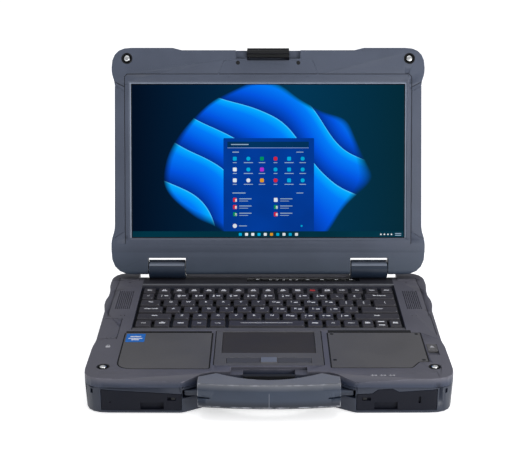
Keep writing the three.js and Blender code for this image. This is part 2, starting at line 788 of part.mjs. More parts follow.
function hingeBracket(side) {
  const x0 = side * BRACKET.inner;
  const x1 = side * BRACKET.outer;
  const back = common(
    axle(BARREL_BACK_RADIUS, x0, x1, 0, HINGE_Z, 40),
    box(side * 90, side * 140, 2.5, 20, 34, 70),
  );
  const mountFoot = box(x0, x1, 0.2, REAR_Y - 0.3, 30.3, 42);
  return cut(
    join(axle(BARREL_RADIUS, x0, x1, 0, HINGE_Z, 40), back, mountFoot),
    axle(SHAFT_RADIUS + 0.08, side * 80, side * 150, 0, HINGE_Z, 32),
  );
}

// ---------------------------------------------------------------- lid

/** The lid seen from the front; its lower corners are rounder than its upper ones. */
function lidOutline() {
  return mirroredOutline([
    [HALF_WIDTH + 1.7, CHIN_BOTTOM, 26],
    [HALF_WIDTH + 1.7, 34, 6],
    [HALF_WIDTH - 2.4, 46, 6],
    [HALF_WIDTH - 3.2, 212, 5],
    [HALF_WIDTH + 0.3, 222, 5],
    [HALF_WIDTH + 0.3, LID_TOP, 22],
    [108, LID_TOP],
    [97, LID_TOP - 2.8],
  ]);
}

/** Half of the lid's side profile: a round chin, and on the inner half a shallow crease above it. */
function lidProfile(facing) {
  const round = 5;
  const crease = facing > 0 ? [[LID_HALF - 0.2, 15.5], [LID_HALF - 1, 19.6], [LID_HALF, 25]] : [];
  const corners = [[0.15, CHIN_BOTTOM], [LID_HALF, CHIN_BOTTOM, round], ...crease];
  corners.push([LID_HALF, LID_TOP + 1, 4], [0.15, LID_TOP + 1]);
  return outline(corners.map(([n, height, cutBack]) => [-facing * n, height, cutBack]));
}

const WIDE = HALF_WIDTH + 10;

function lidHalf(facing) {
  const plate = standing(lidOutline(), -LID_HALF - 1, LID_HALF + 1);
  const notches = Object.values(SIDES).map((side) =>
    box(side * HINGE_NOTCH.inner, side * HINGE_NOTCH.outer, -20, 20, -20, HINGE_NOTCH.top),
  );
  const shaft = axle(SHAFT_RADIUS + 0.12, -142, 142, 0, 0, 32);
  return cut(common(plate, across(lidProfile(facing), -WIDE, WIDE)), ...notches, shaft);
}

function lidShell() {
  const pockets = [
    box(-160, 160, -1, 5.9, 30, 217),
    box(-150, 150, -1, 5.9, 220, 232),
    box(-90, 90, -1, 5.4, 6, 27),
    box(-40, 40, -1, 3, 236, 246),
  ];
  return cut(lidHalf(-1), ...pockets);
}

const LATCH = { x: 23.6, low: 240.4, high: 250.5 };

const LATCH_PLATE = { low: 222, high: 236.8, lowHalf: 56, highHalf: 49.7 };

function latchPlateOutline(grow) {
  const { low, high, lowHalf, highHalf } = LATCH_PLATE;
  return outline([
    [-lowHalf - grow, low - grow],
    [lowHalf + grow, low - grow],
    [highHalf + grow, high],
    [-highHalf - grow, high],
  ]);
}

const RAIL = { inner: 162, low: 44, high: 202, slope: 0.62 };

/** A strip along the lid's side that widens outwards. */
function railOutline(side, shrink) {
  const inner = RAIL.inner + shrink;
  const outer = HALF_WIDTH + 3;
  const rise = (outer - inner) * RAIL.slope;
  return outline([
    [side * inner, RAIL.low + shrink],
    [side * outer, RAIL.low + shrink - rise],
    [side * outer, RAIL.high - shrink + rise],
    [side * inner, RAIL.high - shrink],
  ]);
}

function screenBezel() {
  const window = standing(
    rectangle(-SCREEN.x, SCREEN.x, SCREEN.bottom, SCREEN.top, 1),
    -LID_HALF - 1,
    5,
    2,
  );
  const panelRoom = box(-158, 158, -6.8, 1, 33, 214.5);
  const latchNotch = box(-36.3, 36.3, -LID_HALF - 1, -2.6, 238.7, 260);
  const latchSlot = box(-LATCH.x - GAP, LATCH.x + GAP, -LID_HALF - 1, 1, LATCH_PLATE.high, 260);
  const studs = Object.values(SIDES).flatMap((side) => [
    stub(STUD.well, side * STUD.x, -STUD.y, -LID_HALF - 1, -LID_HALF + 2),
    stub(STUD.radius + GAP, side * STUD.x, -STUD.y, -LID_HALF - 1, -3),
    standing(railOutline(side, 0), -LID_HALF - 1, -2.4),
  ]);
  const plate = standing(latchPlateOutline(0.2), -LID_HALF - 1, -LID_HALF + 1.3);
  return cut(lidHalf(1), window, panelRoom, latchNotch, latchSlot, plate, ...studs);
}

function antennaRail(side) {
  return common(lidHalf(1), standing(railOutline(side, 0.2), -LID_HALF - 1, -2.7));
}

function displayPanel() {
  const module = box(-157.6, 157.6, -6.4, -0.4, 33.4, 214.1);
  const electronics = box(-120, 120, -0.6, 5, 40, 60);
  return join(module, electronics);
}

function lidLatch() {
  const { x, low, high } = LATCH;
  const section = outline([
    [-0.5, low],
    [-0.5, high - 1],
    [-2.5, high],
    [-8, high],
    [-8, 246],
    [-15.2, 246],
    [-15.2, 247.8],
    [-16.8, 247.8],
    [-17.6, 246.6],
    [-17.6, 243.6],
    [-8, 243.6],
    [-8, low],
  ]);
  return across(section, -x, x);
}

function addLid() {
  inLid("lid_shell", lidShell(), MATERIALS.lid);
  inLid("screen_bezel", screenBezel(), MATERIALS.lid);
  inLid("display_panel", displayPanel(), MATERIALS.screen);
  inLid("latch_plate", standing(latchPlateOutline(0), -LID_HALF, -LID_HALF + 1.1), MATERIALS.lid);
  inLid("lid_latch", lidLatch(), MATERIALS.dark);
  for (const [name, side] of Object.entries(SIDES)) {
    inLid(`antenna_rail_${name}`, antennaRail(side), MATERIALS.lid);
    const shaft = axle(SHAFT_RADIUS, side * 88, side * 141.5, 0, 0, 24);
    inLid(`hinge_shaft_${name}`, shaft, MATERIALS.steel);
    const stud = join(
      stub(STUD.radius, side * STUD.x, -STUD.y, -LID_HALF - 0.4, -3.4),
      stub(STUD.radius + 0.9, side * STUD.x, -STUD.y, -LID_HALF + 1, -LID_HALF + 1.8),
    );
    inLid(`lid_stud_${name}`, stud, MATERIALS.steel);
  }
}

// ---------------------------------------------------------------- assembly

function addBase() {
  inBase("bottom_case", bottomCase(), MATERIALS.case);
  inBase("top_cover", topCover(), MATERIALS.case);
  inBase("front_foot", foot(-238, -228), MATERIALS.rubber);
  inBase("rear_foot", foot(-10, 0), MATERIALS.rubber);
  inBase("carry_handle", carryHandle(), MATERIALS.case);
  inBase("latch_catch", latchCatch(), MATERIALS.hinge);
  inBase("media_release", mediaRelease(), MATERIALS.panel);
  for (const [name, side] of Object.entries(SIDES)) {
    inBase(`hinge_bracket_${name}`, hingeBracket(side), MATERIALS.hinge);
    inBase(`battery_${name}`, batteryPack(side), MATERIALS.case);
    inBase(`battery_latch_${name}`, batteryLatch(side), MATERIALS.dark);
    inBase(`port_cover_${name}`, portCover(side), MATERIALS.case);
    inBase(`${name}_connectors`, connectors(name, side), MATERIALS.dark);
  }
}

addBase();
addKeyboard();
addTouchpad();
addIndicatorStrip();
addInternals();
addLid();

const laptop = new THREE.Group();
laptop.add(base, lid);

export default laptop;
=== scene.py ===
"""A rugged clamshell laptop with a carry handle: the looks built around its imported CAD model."""
import json
from math import cos, pi, radians, sin

import bmesh
import bpy
from mathutils import Matrix, Vector
from mathutils.bvhtree import BVHTree


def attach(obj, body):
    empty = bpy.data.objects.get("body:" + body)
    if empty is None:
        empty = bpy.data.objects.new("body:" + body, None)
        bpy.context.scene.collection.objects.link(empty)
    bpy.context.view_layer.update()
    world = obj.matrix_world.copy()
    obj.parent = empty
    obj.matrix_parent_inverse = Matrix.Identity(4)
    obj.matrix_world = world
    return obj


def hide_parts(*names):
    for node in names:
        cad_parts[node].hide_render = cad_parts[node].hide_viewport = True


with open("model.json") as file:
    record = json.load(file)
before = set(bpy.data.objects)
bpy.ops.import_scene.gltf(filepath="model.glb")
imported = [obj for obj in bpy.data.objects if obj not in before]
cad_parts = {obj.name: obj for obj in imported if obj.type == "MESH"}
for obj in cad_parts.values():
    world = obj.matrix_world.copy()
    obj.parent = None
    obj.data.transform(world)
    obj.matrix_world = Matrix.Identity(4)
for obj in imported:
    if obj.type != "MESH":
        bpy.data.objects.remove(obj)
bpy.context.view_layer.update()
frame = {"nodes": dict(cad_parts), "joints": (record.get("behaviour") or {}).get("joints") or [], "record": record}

# ---- places
# Lengths are millimetres until a piece is finished. The base is drawn with y counted from the hinge axis and
# z from the table. The lid is drawn upright: z is the height along it, and -y is the side facing the user.

MM = 0.001
HINGE_JOINT = next(j for j in frame["joints"] if j["name"] == "lid_hinge")
HINGE = Vector(HINGE_JOINT["pos_m"]) / MM
LEAN = radians(-HINGE_JOINT["range_deg"][0] - 90)
TO_METRES = Matrix.Scale(MM, 4)
BASE = TO_METRES @ Matrix.Translation((0, HINGE.y, 0))
LID = TO_METRES @ Matrix.Translation(HINGE) @ Matrix.Rotation(-LEAN, 4, "X")
LID_BODIES = ("lid", "lid_latch")
SIDES = {"left": -1, "right": 1}

RECORD = frame["record"]
BODY_OF = {node: body for body, nodes in RECORD["behaviour"]["bodies"].items() for node in nodes}


def place_of(node):
    """From the millimetres that a CAD node is drawn in, the base's or the lid's, to the frame's metres."""
    return LID if BODY_OF[node] in LID_BODIES else BASE


def node_box(node):
    """Lowest and highest corner of a CAD node, in the millimetres of the base or the lid."""
    back = place_of(node).inverted()
    points = [back @ v.co for v in frame["nodes"][node].data.vertices]
    low = Vector([min(p[i] for p in points) for i in range(3)])
    high = Vector([max(p[i] for p in points) for i in range(3)])
    return low, high


def both_sides(places):
    """Each (x, y) on the left side and then on the right side."""
    return [(side * x, y) for side in SIDES.values() for x, y in places]


DECK_Z = node_box("left_palm_panel")[1].z
SEAM_Z = node_box("bottom_case")[1].z + 0.15  # where the two casings meet
CASE_FLOOR = node_box("bottom_case")[0].z
LID_FACE = node_box("latch_plate")[0].y  # the lid's inner face
LID_BACK = node_box("lid_shell")[1].y
STUD_X = 159
STUD_Y = -239

# ---- materials


def fill(node, inputs):
    """Sets a node's inputs, by name or number. Each gets a value or another node's output."""
    for key, value in inputs.items():
        if isinstance(value, bpy.types.NodeSocket):
            node.id_data.links.new(value, node.inputs[key])
        else:
            node.inputs[key].default_value = value


def add_node(tree, kind, inputs, **settings):
    node = tree.nodes.new(kind)
    for key, value in settings.items():
        setattr(node, key, value)
    fill(node, inputs)
    return node


class Surface:
    """A node material under construction."""

    def __init__(self, name, color, roughness, metallic=0.0, specular=0.5):
        self.material = bpy.data.materials.new(name)
        self.material.use_nodes = True
        self.tree = self.material.node_tree
        self.shader = self.tree.nodes["Principled BSDF"]
        fill(self.shader, {"Base Color": (*color, 1), "Roughness": roughness})
        fill(self.shader, {"Metallic": metallic, "Specular IOR Level": specular})
        self.place = self.add("ShaderNodeTexCoord", {}).outputs["Object"]

    def add(self, kind, inputs, **settings):
        return add_node(self.tree, kind, inputs, **settings)

    def along(self, axis):
        """A place's distance along an axis, in metres."""
        return self.add("ShaderNodeSeparateXYZ", {"Vector": self.place}).outputs[axis]

    def noise(self, scale, detail=2.0, stretch=(1, 1, 1)):
        """Noise between about 0.3 and 0.7, with its scale in features per metre."""
        mapping = self.add("ShaderNodeMapping", {"Scale": stretch, "Vector": self.place})
        inputs = {"Scale": scale, "Detail": detail, "Vector": mapping.outputs["Vector"]}
        return self.add("ShaderNodeTexNoise", inputs).outputs["Fac"]

    def spread(self, source, low, high, start=0.3, end=0.7):
        """Stretches a value from start..end to low..high."""
        inputs = {"Value": source, "From Min": start, "From Max": end, "To Min": low, "To Max": high}
        return self.add("ShaderNodeMapRange", inputs).outputs["Result"]

    def mix(self, amount, first, second):
        """Mixes two colours, each a colour or another node's output."""
        ends = [(*end, 1) if isinstance(end, tuple) else end for end in (first, second)]
        node = self.add("ShaderNodeMix", {"Factor": amount, 6: ends[0], 7: ends[1]}, data_type="RGBA")
        return node.outputs[2]

    def clouds(self, noise, color, darker, lighter=1.0):
        """A colour that wanders between a darker and a lighter tint of itself."""
        return self.mix(self.spread(noise, 0, 1), tinted(color, darker), tinted(color, lighter))

    def bump(self, height, strength, depth_mm):
        node = self.add("ShaderNodeBump", {"Strength": strength, "Distance": depth_mm * MM, "Height": height})
        fill(self.shader, {"Normal": node.outputs["Normal"]})

    def color(self, output):
        fill(self.shader, {"Base Color": output})

    def roughness(self, output):
        fill(self.shader, {"Roughness": output})

    def glow(self, color, strength):
        fill(self.shader, {"Emission Color": color, "Emission Strength": strength})


def tinted(color, factor):
    return tuple(channel * factor for channel in color)


def moulded(name, color, roughness, grain=1400, depth=0.05, specular=0.4, painted_shades=()):
    """Moulded plastic or painted metal: fine grain, faint clouding, and lighter edges, part rubbed wear, part
    painted highlight.

    Each painted shade of (colour, low, high) turns to a darker colour between two heights above the table, in
    millimetres, and the last of them is the lowest: shade from the light above, painted into the colour.
    """
    surface = Surface(name, color, roughness, specular=specular)
    cloud = surface.noise(26, detail=4)
    speck = surface.noise(grain, detail=1)
    paint = surface.clouds(cloud, color, 0.9, 1.1)
    paint = surface.mix(surface.spread(speck, 0, 0.35), paint, tinted(color, 1.25))
    # painted shade: below each band of heights the paint turns to its darker colour
    for shade_color, low, high in painted_shades:
        height = surface.spread(surface.along("Z"), 0, 1, low * MM, high * MM)
        paint = surface.mix(height, surface.clouds(cloud, shade_color, 0.9, 1.1), paint)
    # lighter bevelled edges: partly rubbed wear, partly a painted highlight where edges catch the light
    edge = surface.add("ShaderNodeAttribute", {}, attribute_name="edge").outputs["Fac"]
    patches = surface.spread(surface.noise(120, detail=5), 0, 1, 0.42, 0.62)
    wear_and_highlight = surface.add("ShaderNodeMath", {0: edge, 1: patches}, operation="MULTIPLY").outputs["Value"]
    surface.color(surface.mix(wear_and_highlight, paint, tinted(color, 1.6)))
    surface.roughness(surface.spread(cloud, roughness - 0.06, roughness + 0.06))
    surface.bump(speck, 0.5, depth)
    return surface.material


def polished_steel():
    color = (0.78, 0.79, 0.8)
    surface = Surface("bright_steel", color, 0.2, metallic=1.0)
    scratch = surface.noise(900, detail=3, stretch=(1, 1, 0.05))
    surface.color(surface.clouds(scratch, color, 0.92))
    surface.roughness(surface.spread(scratch, 0.14, 0.3))
    surface.bump(scratch, 0.2, 0.01)
    return surface.material


def ink(name, color):
    """Printed marks."""
    surface = Surface(name, color, 0.5)
    surface.color(surface.clouds(surface.noise(400), color, 0.9))
    return surface.material


def circuit_board():
    color = (0.02, 0.09, 0.045)
    surface = Surface("circuit_board", color, 0.4)
    traces = surface.noise(220, stretch=(1, 6, 1))
    surface.color(surface.mix(surface.spread(traces, 0, 1, 0.45, 0.5), color, tinted(color, 1.9)))
    surface.bump(traces, 0.3, 0.05)
    return surface.material


def metal(name, color, roughness):
    surface = Surface(name, color, roughness, metallic=1.0)
    brushed = surface.noise(700, detail=3, stretch=(0.06, 1, 1))
    surface.color(surface.clouds(brushed, color, 0.85))
    surface.roughness(surface.spread(brushed, roughness - 0.08, roughness + 0.08))
    surface.bump(brushed, 0.25, 0.02)
    return surface.material


def screen_glass():
    surface = Surface("screen_glass", (0.002, 0.003, 0.006), 0.14, specular=0.35)
    surface.roughness(surface.spread(surface.noise(18, detail=3), 0.12, 0.2))
    return surface.material


# painted shade: darker colours low on the deck's front, the handle's front and bottom, and the lid's chin, where
# less light from above falls
DECK_PAINTED_SHADE = [((0.022, 0.03, 0.056), 29.5, 35.6)]
HANDLE_PAINTED_SHADE = [((0.023, 0.034, 0.058), 31, 36.5), ((0.009, 0.013, 0.024), 17, 22)]
LID_PAINTED_SHADE = [((0.044, 0.06, 0.09), 50, 80)]
CASE = moulded("case_paint", (0.0155, 0.021, 0.037), 0.45)
DECK = moulded("deck_paint", (0.078, 0.077, 0.097), 0.55, painted_shades=DECK_PAINTED_SHADE)
DOOR = moulded("door_plastic", (0.003, 0.004, 0.0095), 0.6, specular=0.18)
HANDLE = moulded("handle_paint", (0.14, 0.145, 0.163), 0.45, painted_shades=HANDLE_PAINTED_SHADE)
LID_PAINT = moulded("lid_paint", (0.065, 0.078, 0.114), 0.5, painted_shades=LID_PAINTED_SHADE)
# painted highlight: the light strip behind the keys stands in for the lit rear edge of their well
REAR_EDGE_HIGHLIGHT = moulded("rear_edge_highlight_paint", (0.14, 0.145, 0.16), 0.4)
# painted highlight on the window's slanted edge
WINDOW_HIGHLIGHT = moulded("window_highlight_paint", (0.24, 0.28, 0.36), 0.4)
PALM = moulded("palm_plastic", (0.077, 0.075, 0.079), 0.6, grain=900, specular=0.3)
HINGE_PAINT = moulded("hinge_paint", (0.0135, 0.023, 0.043), 0.4)
# painted highlight along the top of the hinge barrels
HINGE_HIGHLIGHT = moulded("hinge_highlight_paint", (0.14, 0.162, 0.212), 0.4)
KEYS = moulded("key_plastic", (0.036, 0.034, 0.041), 0.5, grain=1800, depth=0.03, specular=0.3)
DARK = moulded("dark_plastic", (0.006, 0.0065, 0.008), 0.55, specular=0.3)
PAD = moulded("touchpad_plastic", (0.03, 0.027, 0.028), 0.62, grain=2200, depth=0.02, specular=0.25)
PAD_FRAME = moulded("pad_frame_plastic", (0.074, 0.073, 0.081), 0.6, specular=0.3)
PAD_BUTTON = moulded("pad_button_plastic", (0.05, 0.05, 0.058), 0.55, specular=0.3)
SENSOR = moulded("sensor_plastic", (0.12, 0.132, 0.165), 0.4)
GLOSS = moulded("gloss_plastic", (0.006, 0.006, 0.008), 0.2, depth=0.01)
RUBBER = moulded("rubber", (0.012, 0.012, 0.013), 0.85, grain=600, depth=0.1, specular=0.25)
# painted shade: the dark plate behind the keyboard stands in for the lid's shade on the deck
REAR_DECK_SHADE = moulded("rear_deck_painted_shade", (0.02, 0.02, 0.027), 0.5, specular=0.3)
# print for the signs, and painted highlights on the corners of the key caps
SIGN_INK_AND_HIGHLIGHT = ink("sign_ink_and_highlight", (0.42, 0.42, 0.45))
WHITE_INK = ink("white_legend", (0.85, 0.86, 0.9))
RED_INK = ink("red_legend", (0.6, 0.03, 0.03))
BLUE_LABEL = ink("blue_label", (0.0, 0.13, 0.5))
STEEL = polished_steel()
BOARD = circuit_board()
COPPER = metal("copper", (0.6, 0.27, 0.15), 0.35)
DRIVE = metal("drive_metal", (0.55, 0.56, 0.58), 0.4)
GLASS = screen_glass()

# ---- mesh tools


def rounded(corners, steps=6):
    """Points of a closed outline from (x, y, cut) corners; a corner with a cut is rounded off."""
    points = []
    for i, (x, y, *cut) in enumerate(corners):
        corner = Vector((x, y))
        if not cut or not cut[0]:
            points.append(corner)
            continue
        before = Vector(corners[i - 1][:2])
        after = Vector(corners[(i + 1) % len(corners)][:2])
        start = corner + (before - corner).normalized() * cut[0]
        end = corner + (after - corner).normalized() * cut[0]
        for step in range(steps + 1):
            t = step / steps
            points.append(start.lerp(corner, t).lerp(corner.lerp(end, t), t))
    return points


def rectangle(x0, x1, y0, y1, cut=0.0, steps=6):
    return rounded([(x0, y0, cut), (x1, y0, cut), (x1, y1, cut), (x0, y1, cut)], steps)


def centred(x, y, half_x, half_y, cut=0.0, steps=6):
    """A rectangle about its middle."""
    return rectangle(x - half_x, x + half_x, y - half_y, y + half_y, cut, steps)


def circle(x, y, radius, sides=20):
    angles = [2 * pi * i / sides for i in range(sides)]
    return [Vector((x + radius * cos(a), y + radius * sin(a))) for a in angles]


def bridge(bm, lower, upper):
    """The faces between two rings of vertices."""
    for i in range(len(lower)):
        j = (i + 1) % len(lower)
        bm.faces.new((lower[i], lower[j], upper[j], upper[i]))


def prism(bm, points, low, high, axes="xyz"):
    """A closed solid over an outline. The axes are the outline's two directions and then its height."""
    order = ["xyz".index(letter) for letter in axes]

    def vertex(point, height):
        place = [0, 0, 0]
        for index, value in zip(order, (*point, height)):
            place[index] = value
        return bm.verts.new(place)

    bottom = [vertex(p, low) for p in points]
    top = [vertex(p, high) for p in points]
    bm.faces.new(bottom[::-1])
    bm.faces.new(top)
    bridge(bm, bottom, top)


def loft(bm, rings):
    """A closed solid through rings of points."""
    rows = [[bm.verts.new(p) for p in ring] for ring in rings]
    for lower, upper in zip(rows, rows[1:]):
        bridge(bm, lower, upper)
    bm.faces.new(rows[0][::-1])
    bm.faces.new(rows[-1])


def lying(points, z):
    """An outline on the base, at a height."""
    return [Vector((p.x, p.y, z)) for p in points]


def standing(points, y):
    """An outline on the lid, at a depth."""
    return [Vector((p.x, y, p.y)) for p in points]


def rim_solid(bm, outer, inner, low, high, pose=lying):
    """A frame-shaped solid between two outlines and two heights."""
    rings = [pose(outer, low), pose(outer, high), pose(inner, high), pose(inner, low)]
    rows = [[bm.verts.new(p) for p in ring] for ring in rings]
    for lower, upper in zip(rows, rows[1:] + rows[:1]):
        bridge(bm, lower, upper)


def seam(bm, path, width, low, high, axes="xyz"):
    """A bar along each stretch of a path, with square ends that reach half its width past the points."""
    for (x0, y0), (x1, y1) in zip(path, path[1:]):
        start = Vector((x0, y0))
        end = Vector((x1, y1))
        along = (end - start).normalized() * (width / 2)
        across = Vector((-along.y, along.x))
        corners = [start - along - across, end + along - across, end + along + across, start - along + across]
        prism(bm, corners, low, high, axes)


def grown(points, amount):
    """An anticlockwise outline moved outwards by an amount."""
    moved = []
    for i, point in enumerate(points):
        before = (point - points[i - 1]).normalized()
        after = (points[(i + 1) % len(points)] - point).normalized()
        first = Vector((before.y, -before.x))
        second = Vector((after.y, -after.x))
        moved.append(point + (first + second) * (amount / (1 + first.dot(second))))
    return moved


def turned(bm, profile, centre, direction=(0, 0, 1), sides=32):
    """A solid of revolution from (radius, height) points along a direction; both end radii are above 0."""
    turn = Vector((0, 0, 1)).rotation_difference(Vector(direction)).to_matrix()
    rings = [lying(circle(0, 0, radius, sides), height) for radius, height in profile]
    loft(bm, [[turn @ p + Vector(centre) for p in ring] for ring in rings])


def turns_more(edge, angle):
    return len(edge.link_faces) == 2 and edge.calc_face_angle(0) > radians(angle)


def soften(bm, width, angle=28, segments=2, where=None):
    """Bevels the edges that turn by more than the angle, and marks the new faces as edges."""
    mark = bm.faces.layers.float.get("edge") or bm.faces.layers.float.new("edge")
    chosen = [e for e in bm.edges if turns_more(e, angle) and (where is None or where(e))]
    made = bmesh.ops.bevel(
        bm, geom=chosen, offset=width, offset_type="OFFSET", segments=segments, profile=0.5,
        affect="EDGES", clamp_overlap=False, loop_slide=False,
    )
    for face in made["faces"]:
        face[mark] = 1.0


def scratch_object(name, bm):
    mesh = bpy.data.meshes.new(name)
    bm.to_mesh(mesh)
    obj = bpy.data.objects.new(name, mesh)
    bpy.context.scene.collection.objects.link(obj)
    return obj


def carve(bm, cutters):
    """Cuts the solids of one mesh out of another, and frees the cutters."""
    bmesh.ops.recalc_face_normals(cutters, faces=cutters.faces)
    target = scratch_object("carve_target", bm)
    tool = scratch_object("carve_tool", cutters)
    cutters.free()
    modifier = target.modifiers.new("carve", "BOOLEAN")
    modifier.operation = "DIFFERENCE"
    modifier.solver = "EXACT"
    modifier.use_self = True
    modifier.object = tool
    result = bpy.data.meshes.new_from_object(target.evaluated_get(bpy.context.evaluated_depsgraph_get()))
    bm.clear()
    bm.from_mesh(result)
    for obj in (target, tool):
        mesh = obj.data
        bpy.data.objects.remove(obj)
        bpy.data.meshes.remove(mesh)
    bpy.data.meshes.remove(result)


SMOOTH_ANGLE = 32  # edges that turn by less than this are shaded as round


def piece(name, bm, node, material, smooth=SMOOTH_ANGLE):
    """Turns a mesh in millimetres into a shown piece, on the body of a CAD node."""
    bmesh.ops.recalc_face_normals(bm, faces=bm.faces)
    bm.transform(place_of(node))
    mesh = bpy.data.meshes.new(name)
    bm.to_mesh(mesh)
    bm.free()
    mesh.shade_smooth()
    mesh.set_sharp_from_angle(angle=radians(smooth))
    mesh.materials.append(material)
    obj = bpy.data.objects.new(name, mesh)
    bpy.context.scene.collection.objects.link(obj)
    normals = obj.modifiers.new("weighted_normals", "WEIGHTED_NORMAL")
    normals.keep_sharp = True
    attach(obj, BODY_OF[node])
    return obj


def plates(name, outlines, low, high, node, material, axes="xyz", bevel=0.0, smooth=SMOOTH_ANGLE):
    """One piece made of a prism over each outline."""
    bm = bmesh.new()
    for points in outlines:
        prism(bm, points, low, high, axes)
    if bevel:
        soften(bm, bevel)
    piece(name, bm, node, material, smooth)


def stand_in(name, bm, node, material, smooth=SMOOTH_ANGLE):
    """A piece that is shown instead of its CAD node."""
    obj = piece(name, bm, node, material, smooth)
    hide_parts(node)
    return obj


def cad_mesh(node):
    """A CAD node's mesh in millimetres."""
    bm = bmesh.new()
    bm.from_mesh(frame["nodes"][node].data)
    bm.transform(place_of(node).inverted())
    bmesh.ops.remove_doubles(bm, verts=bm.verts, dist=0.002)
    return bm


def flat_faced(node):
    """A CAD node's mesh in millimetres, with the triangles of each flat face joined."""
    bm = cad_mesh(node)
    bmesh.ops.dissolve_limit(bm, angle_limit=radians(0.6), verts=bm.verts, edges=bm.edges)
    return bm


SHARP_ANGLE = 40
SEAM_REACH = 0.5  # how near an edge lies to where the casings meet to count as part of that seam


def off_seam(edge):
    """Whether an edge is not where the two casings meet; that seam stays tight."""
    return any(abs(v.co.z - SEAM_Z) > SEAM_REACH for v in edge.verts)


def refined(node, material, width=0.3, rim=None, carving=None, segments=2, where=None):
    """A CAD node with carved detail where given, softened edges, and a rounder rim where given.

    The widths are written on the edges before carving, so that the carved lines themselves stay crisp.
    """
    bm = cad_mesh(node)
    layer = bm.edges.layers.float.new("roundness")
    for edge in bm.edges:
        if turns_more(edge, SHARP_ANGLE) and (where is None or where(edge)):
            edge[layer] = rim[0] if rim and rim[1](edge) else width
    if carving:
        carve(bm, carving)
        layer = bm.edges.layers.float["roundness"]
    for amount in sorted({width, rim[0] if rim else width}, reverse=True):
        if amount:
            soften(bm, amount, SHARP_ANGLE, segments, lambda edge: abs(edge[layer] - amount) < 0.001)
    return stand_in(f"{node}_shell", bm, node, material)


# ---- the base's casings

SEAM_WIDTH = 0.8
SEAM_DEPTH = 1.4
CLEAR = 2  # how far a cutter starts outside the surface that it cuts
PANEL_INSET = 0.5  # how far a palm panel stands back from its CAD outline
JOINT_GROWTH = 1.0  # how far the deck is cut back around a panel
JOINT_DEPTH = 1.0
JOINT_FLOOR = DECK_Z - JOINT_DEPTH


def top_outline(node):
    """The outline of a panel's flat top."""
    bm = flat_faced(node)
    face = max((f for f in bm.faces if f.normal.z > 0.9), key=lambda f: f.calc_center_median().z)
    points = [v.co.xy for v in face.verts]
    bm.free()
    return points


def panel_outlines():
    low, high = node_box("touchpad_frame")
    return {
        "left_palm_panel": top_outline("left_palm_panel"),
        "right_palm_panel": top_outline("right_palm_panel"),
        "touchpad_frame": rectangle(low.x, high.x, low.y, high.y, 1, 2),
    }


def build_joints():
    """Dark gaskets in the joints around the panels of the palm rest."""
    for node, points in panel_outlines().items():
        bm = bmesh.new()
        outer = grown(points, JOINT_GROWTH + 0.2)
        inner = grown(points, -1.2 if node != "touchpad_frame" else 0.15)
        rim_solid(bm, outer, inner, JOINT_FLOOR - 0.2, JOINT_FLOOR + 0.4)
        piece(f"{node}_gasket", bm, "top_cover", RUBBER)


def build_palm_panels():
    for name in SIDES:
        node = f"{name}_palm_panel"
        low, high = node_box(node)
        bm = bmesh.new()
        prism(bm, grown(top_outline(node), -PANEL_INSET), low.z, high.z)
        soften(bm, 0.35)
        stand_in(f"{node}_plate", bm, node, PALM)
    strips = [rectangle(60.6, 145.5, -157.1, -151.6, 0.6, 2), rectangle(-145.3, -58, -157.2, -154.2, 0.6, 2)]
    plates("palm_rest_strips", strips, DECK_Z - 0.5, DECK_Z + 0.08, "top_cover", RUBBER)


SMALL_HOLE = {"radius": 0.7, "sides": 12}


def deck_carving():
    """Seams, joints, screw recesses and small holes in the deck."""
    cutters = bmesh.new()
    top = DECK_Z + 3
    for points in panel_outlines().values():
        prism(cutters, grown(points, JOINT_GROWTH), JOINT_FLOOR, top)
    paths = []
    for side in SIDES.values():
        paths.append([(side * 168.2, -4), (side * 169.8, -40), (side * 169.6, -115)])
        prism(cutters, circle(side * 156, -15, 1.5), DECK_Z - 1, top)
        for step in (-2, 2):
            prism(cutters, circle(side * 154 + step, -112, **SMALL_HOLE), DECK_Z - 1, top)
    paths.append([(171, -108), (171, -163)])
    paths.append([(-171.4, -121), (-153.5, -121), (-153.5, -173), (-171.8, -173)])
    for path in paths:
        seam(cutters, path, SEAM_WIDTH, DECK_Z - SEAM_DEPTH, top)
    prism(cutters, rectangle(-163.5, -158, -121.6, -119.6), DECK_Z - SEAM_DEPTH, top)
    for x in (-164, -160):
        prism(cutters, circle(x, -170.5, **SMALL_HOLE), DECK_Z - 1, top)
    return cutters


RIM_X = 172
RIM_Y = -262


def edge_middle(edge):
    return (edge.verts[0].co + edge.verts[1].co) / 2


def on_outer_rim(edge):
    """Whether an edge of the top cover lies along its outside, at the height of the deck."""
    middle = edge_middle(edge)
    at_deck = min(v.co.z for v in edge.verts) >= DECK_Z - 4
    return at_deck and (abs(middle.x) > RIM_X or middle.y < RIM_Y)


def door_carving(side):
    """The lock slot in the right battery door, or the pin hole in the left one."""
    front = node_box("bottom_case")[0].y
    cutters = bmesh.new()
    if side > 0:
        prism(cutters, rectangle(141, 143.4, 11, 18, 0.8, 2), front - CLEAR, front + 2.5, "xzy")
    else:
        prism(cutters, circle(-150, 12, 0.8, 12), front - CLEAR, front + 1.5, "xzy")
    return cutters


def deck_height(x, y):
    """Height of the top cover above a place on the table."""
    bm = cad_mesh("top_cover")
    hit = BVHTree.FromBMesh(bm).ray_cast(Vector((x, y, DECK_Z + 20)), Vector((0, 0, -1)))
    bm.free()
    return hit[0].z


